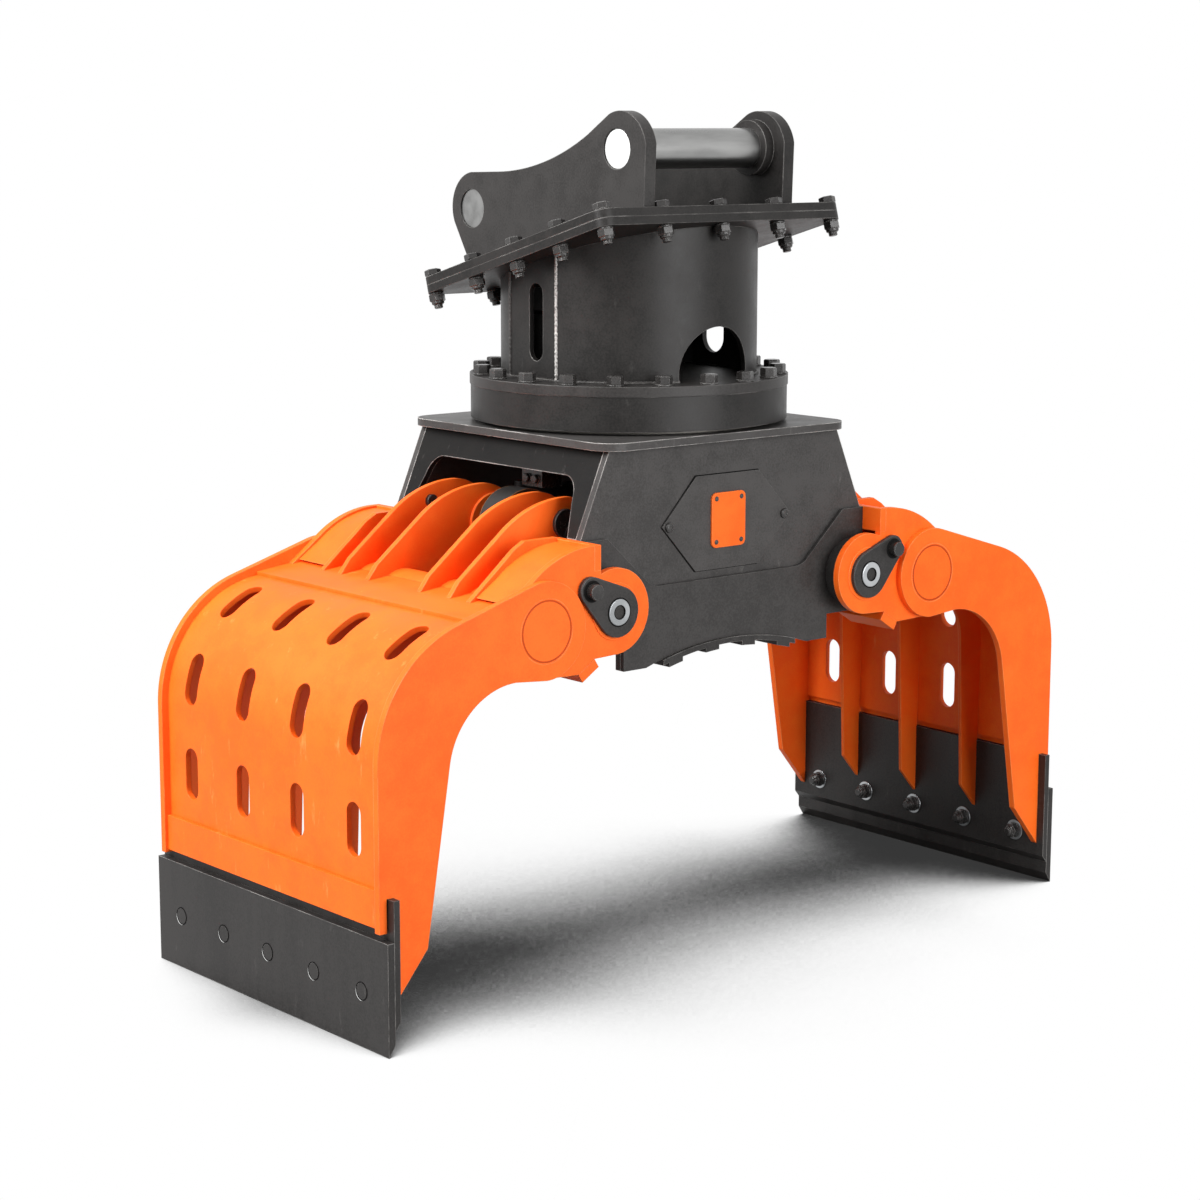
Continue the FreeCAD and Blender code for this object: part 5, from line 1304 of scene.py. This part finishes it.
    def _teardrop(self, sign: float) -> list[list[Point]]:
        """Rings of the keeper plate from its back to its chamfered face."""
        rings = []
        for depth, shrink in ((0.002, 0.0), (0.0095, 0.0), (0.011, 0.0015)):
            ring = []
            for x, z in teardrop((0.050 - shrink), (0.028 - shrink), self.tail):
                ring.append((x, sign * (self.keeper_face + depth), z))
            rings.append(ring)
        return rings


def teardrop(big: float, small: float, tail: tuple[float, float]) -> list[tuple[float, float]]:
    """Outline round two circles, the big one at the origin."""
    far = math.hypot(*tail)
    heading = math.atan2(tail[1], tail[0])
    spread = math.acos((big - small) / far)
    points = []
    for step in range(28):
        angle = heading + spread + (2 * math.pi - 2 * spread) * step / 27
        points.append((big * math.cos(angle), big * math.sin(angle)))
    for step in range(14):
        angle = heading - spread + 2 * spread * step / 13
        points.append((tail[0] + small * math.cos(angle), tail[1] + small * math.sin(angle)))
    return points


def crescent(form: bmesh.types.BMesh, inner: float, outer: float, start: float, end: float) -> None:
    """Add a thin crescent between two radii, widest in the middle of its arc.

    Args:
        form: Mesh that receives the solid.
        inner: Inner radius.
        outer: Outer radius at the middle.
        start: Angle at which it begins.
        end: Angle at which it ends.
    """
    rings = []
    for step in range(17):
        share = (step + 0.5) / 17
        angle = start + (end - start) * share
        reach = inner + (outer - inner) * math.sin(math.pi * share)
        across = Vector((math.cos(angle), math.sin(angle), 0.0))
        rings.append([across * inner + Vector((0, 0, -0.001)), across * inner + Vector((0, 0, 0.0005)),
                      across * reach + Vector((0, 0, 0.0005)), across * reach + Vector((0, 0, -0.001))])
    loft(form, rings)


def ring_solid(form: bmesh.types.BMesh, section: Sequence[tuple[float, float]], sides: int,
               place: Matrix | None = None) -> None:
    """Add a turned ring from a closed section of radius and height pairs."""
    turn = place if place is not None else Matrix.Identity(4)
    rows = [[form.verts.new(turn @ Vector(point)) for point in polygon(radius, sides, height)]
            for radius, height in section]
    for low, high in zip(rows, rows[1:] + rows[:1]):
        for index in range(sides):
            after = (index + 1) % sides
            form.faces.new((low[index], low[after], high[after], high[index]))


@dataclass
class Cylinders:
    """Two hydraulic cylinders between the shells' lugs."""

    shop: Shop

    def build(self) -> None:
        """Dress barrels and rods."""
        for lane in ("front", "rear"):
            self.shop.dress("barrel_" + lane, self.shop.finishes.black)
            self.shop.dress("rod_" + lane, self.shop.finishes.chrome)


# Stage


@dataclass
class Stage:
    """Floor, lights and camera of the studio."""

    floor_half: float = 40.0
    ambient: float = 0.15
    bounce: float = 0.22
    shade: float = 0.038
    shade_reach: float = 1.6
    shade_dark: float = 0.45
    shade_light: float = 0.73
    camera_place: Point = (-3.7147, -4.3066, 1.7063)
    camera_aim: Point = (0.6353, 0.7523, -0.1745)
    camera_roll: float = 0.07
    lens: float = 81.75

    def build(self) -> None:
        """Make the whole stage."""
        self.world()
        self.floor()
        self.lights()
        self.camera()

    def world(self) -> None:
        """Dim surroundings that look white to the camera and in reflections."""
        world = bpy.data.worlds.new("studio")
        bpy.context.scene.world = world
        graph = Graph(world)
        white = (1.0, 1.0, 1.0, 1.0)
        dim = graph.node("ShaderNodeBackground", None, {"Color": white, "Strength": self.ambient})
        bright = graph.node("ShaderNodeBackground", None, {"Color": white, "Strength": 1.0})
        graph.close("ShaderNodeOutputWorld", graph.blend(graph.seen(), dim, bright))

    def floor(self) -> None:
        """White floor that darkens softly where the grapple hides the sky, least beside the blades."""
        form = bmesh.new()
        half = self.floor_half
        outline = ((-half, -half), (half, -half), (half, half), (-half, half))
        corners = [form.verts.new((x, y, 0.0)) for x, y in outline]
        form.faces.new(corners)
        graph = Graph.material("floor_white")
        open_sky = graph.node("ShaderNodeAmbientOcclusion", {"samples": 24}, {"Distance": self.shade_reach})
        split = graph.node("ShaderNodeSeparateXYZ", None, {0: graph.place()})
        across, aside = (Signal(graph, split.outputs[axis]).size() for axis in ("X", "Y"))
        length = Signal(graph, split.outputs["X"])
        right = length.above(-0.7, 0.9) * 0.08 - length.above(0.3, 0.6) * aside.above(0.25, 0.45) * 0.06
        left = (length * -1.0).above(0.55, 0.95) * 0.05
        front = aside.least(0.4) * 0.13 + aside.above(0.02, 0.2) * 0.022
        lifted = across.above(0.3, 0.8) * 0.09 + right + left + front - 0.085
        share = (Signal(graph, open_sky.outputs["AO"]) + lifted).above(self.shade_dark, self.shade_light)
        grey = (self.shade,) * 3 + (1.0,)
        shadow = graph.node("ShaderNodeEmission", None, {"Color": grey, "Strength": 1.0})
        bright = graph.node("ShaderNodeEmission", None, {"Color": (1.0, 1.0, 1.0, 1.0), "Strength": 1.0})
        plain = graph.node("ShaderNodeBsdfDiffuse", None, {"Color": (self.bounce,) * 3 + (1.0,)})
        shown = graph.blend(share, shadow, bright)
        graph.close("ShaderNodeOutputMaterial", graph.blend(graph.seen(), plain, shown))
        from_bmesh("floor", form, graph.owner)

    def lights(self) -> None:
        """Large soft lamps: a strong key from the left, a fill in front and one overhead."""
        for name, place, size, power, aim in (
            ("key", (-4.9, 0.5, 4.5), 4.0, 650.0, (0.0, 0.0, 0.8)),
            ("fill", (0.3, -5.8, 2.0), 4.0, 320.0, (0.0, 0.0, 0.7)),
            ("top", (0.0, 0.4, 5.6), 3.2, 100.0, (0.0, 0.0, 0.8)),
        ):
            data = bpy.data.lights.new(name, "AREA")
            data.shape = "SQUARE"
            data.size = size
            data.energy = power
            lamp = bpy.data.objects.new(name, data)
            lamp.location = place
            lamp.rotation_euler = (Vector(aim) - Vector(place)).to_track_quat("-Z", "Y").to_euler()
            bpy.context.scene.collection.objects.link(lamp)

    def camera(self) -> None:
        """Camera at the photograph's station point."""
        data = bpy.data.cameras.new("camera")
        data.lens = self.lens
        data.sensor_width = 36.0
        data.clip_end = 60.0
        made = bpy.data.objects.new("camera", data)
        aim = Vector(self.camera_aim).normalized()
        made.location = self.camera_place
        roll = Matrix.Rotation(math.radians(self.camera_roll), 3, "Z")
        turn = aim.to_track_quat("-Z", "Y").to_matrix() @ roll
        made.rotation_euler = turn.to_euler()
        bpy.context.scene.collection.objects.link(made)
        bpy.context.scene.camera = made


def main() -> None:
    """Build the stage and the grapple."""
    logging.basicConfig(level=logging.INFO, format="%(name)s: %(message)s")
    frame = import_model()
    bpy.context.scene.view_settings.view_transform = "Standard"
    Stage().build()
    shop = Shop(frame, Finishes())
    SlewFrame(shop).build()
    Head(shop).build()
    for side in ("left", "right"):
        Shell(shop, side).build()
    Cylinders(shop).build()


if __name__ == "__main__":
    main()
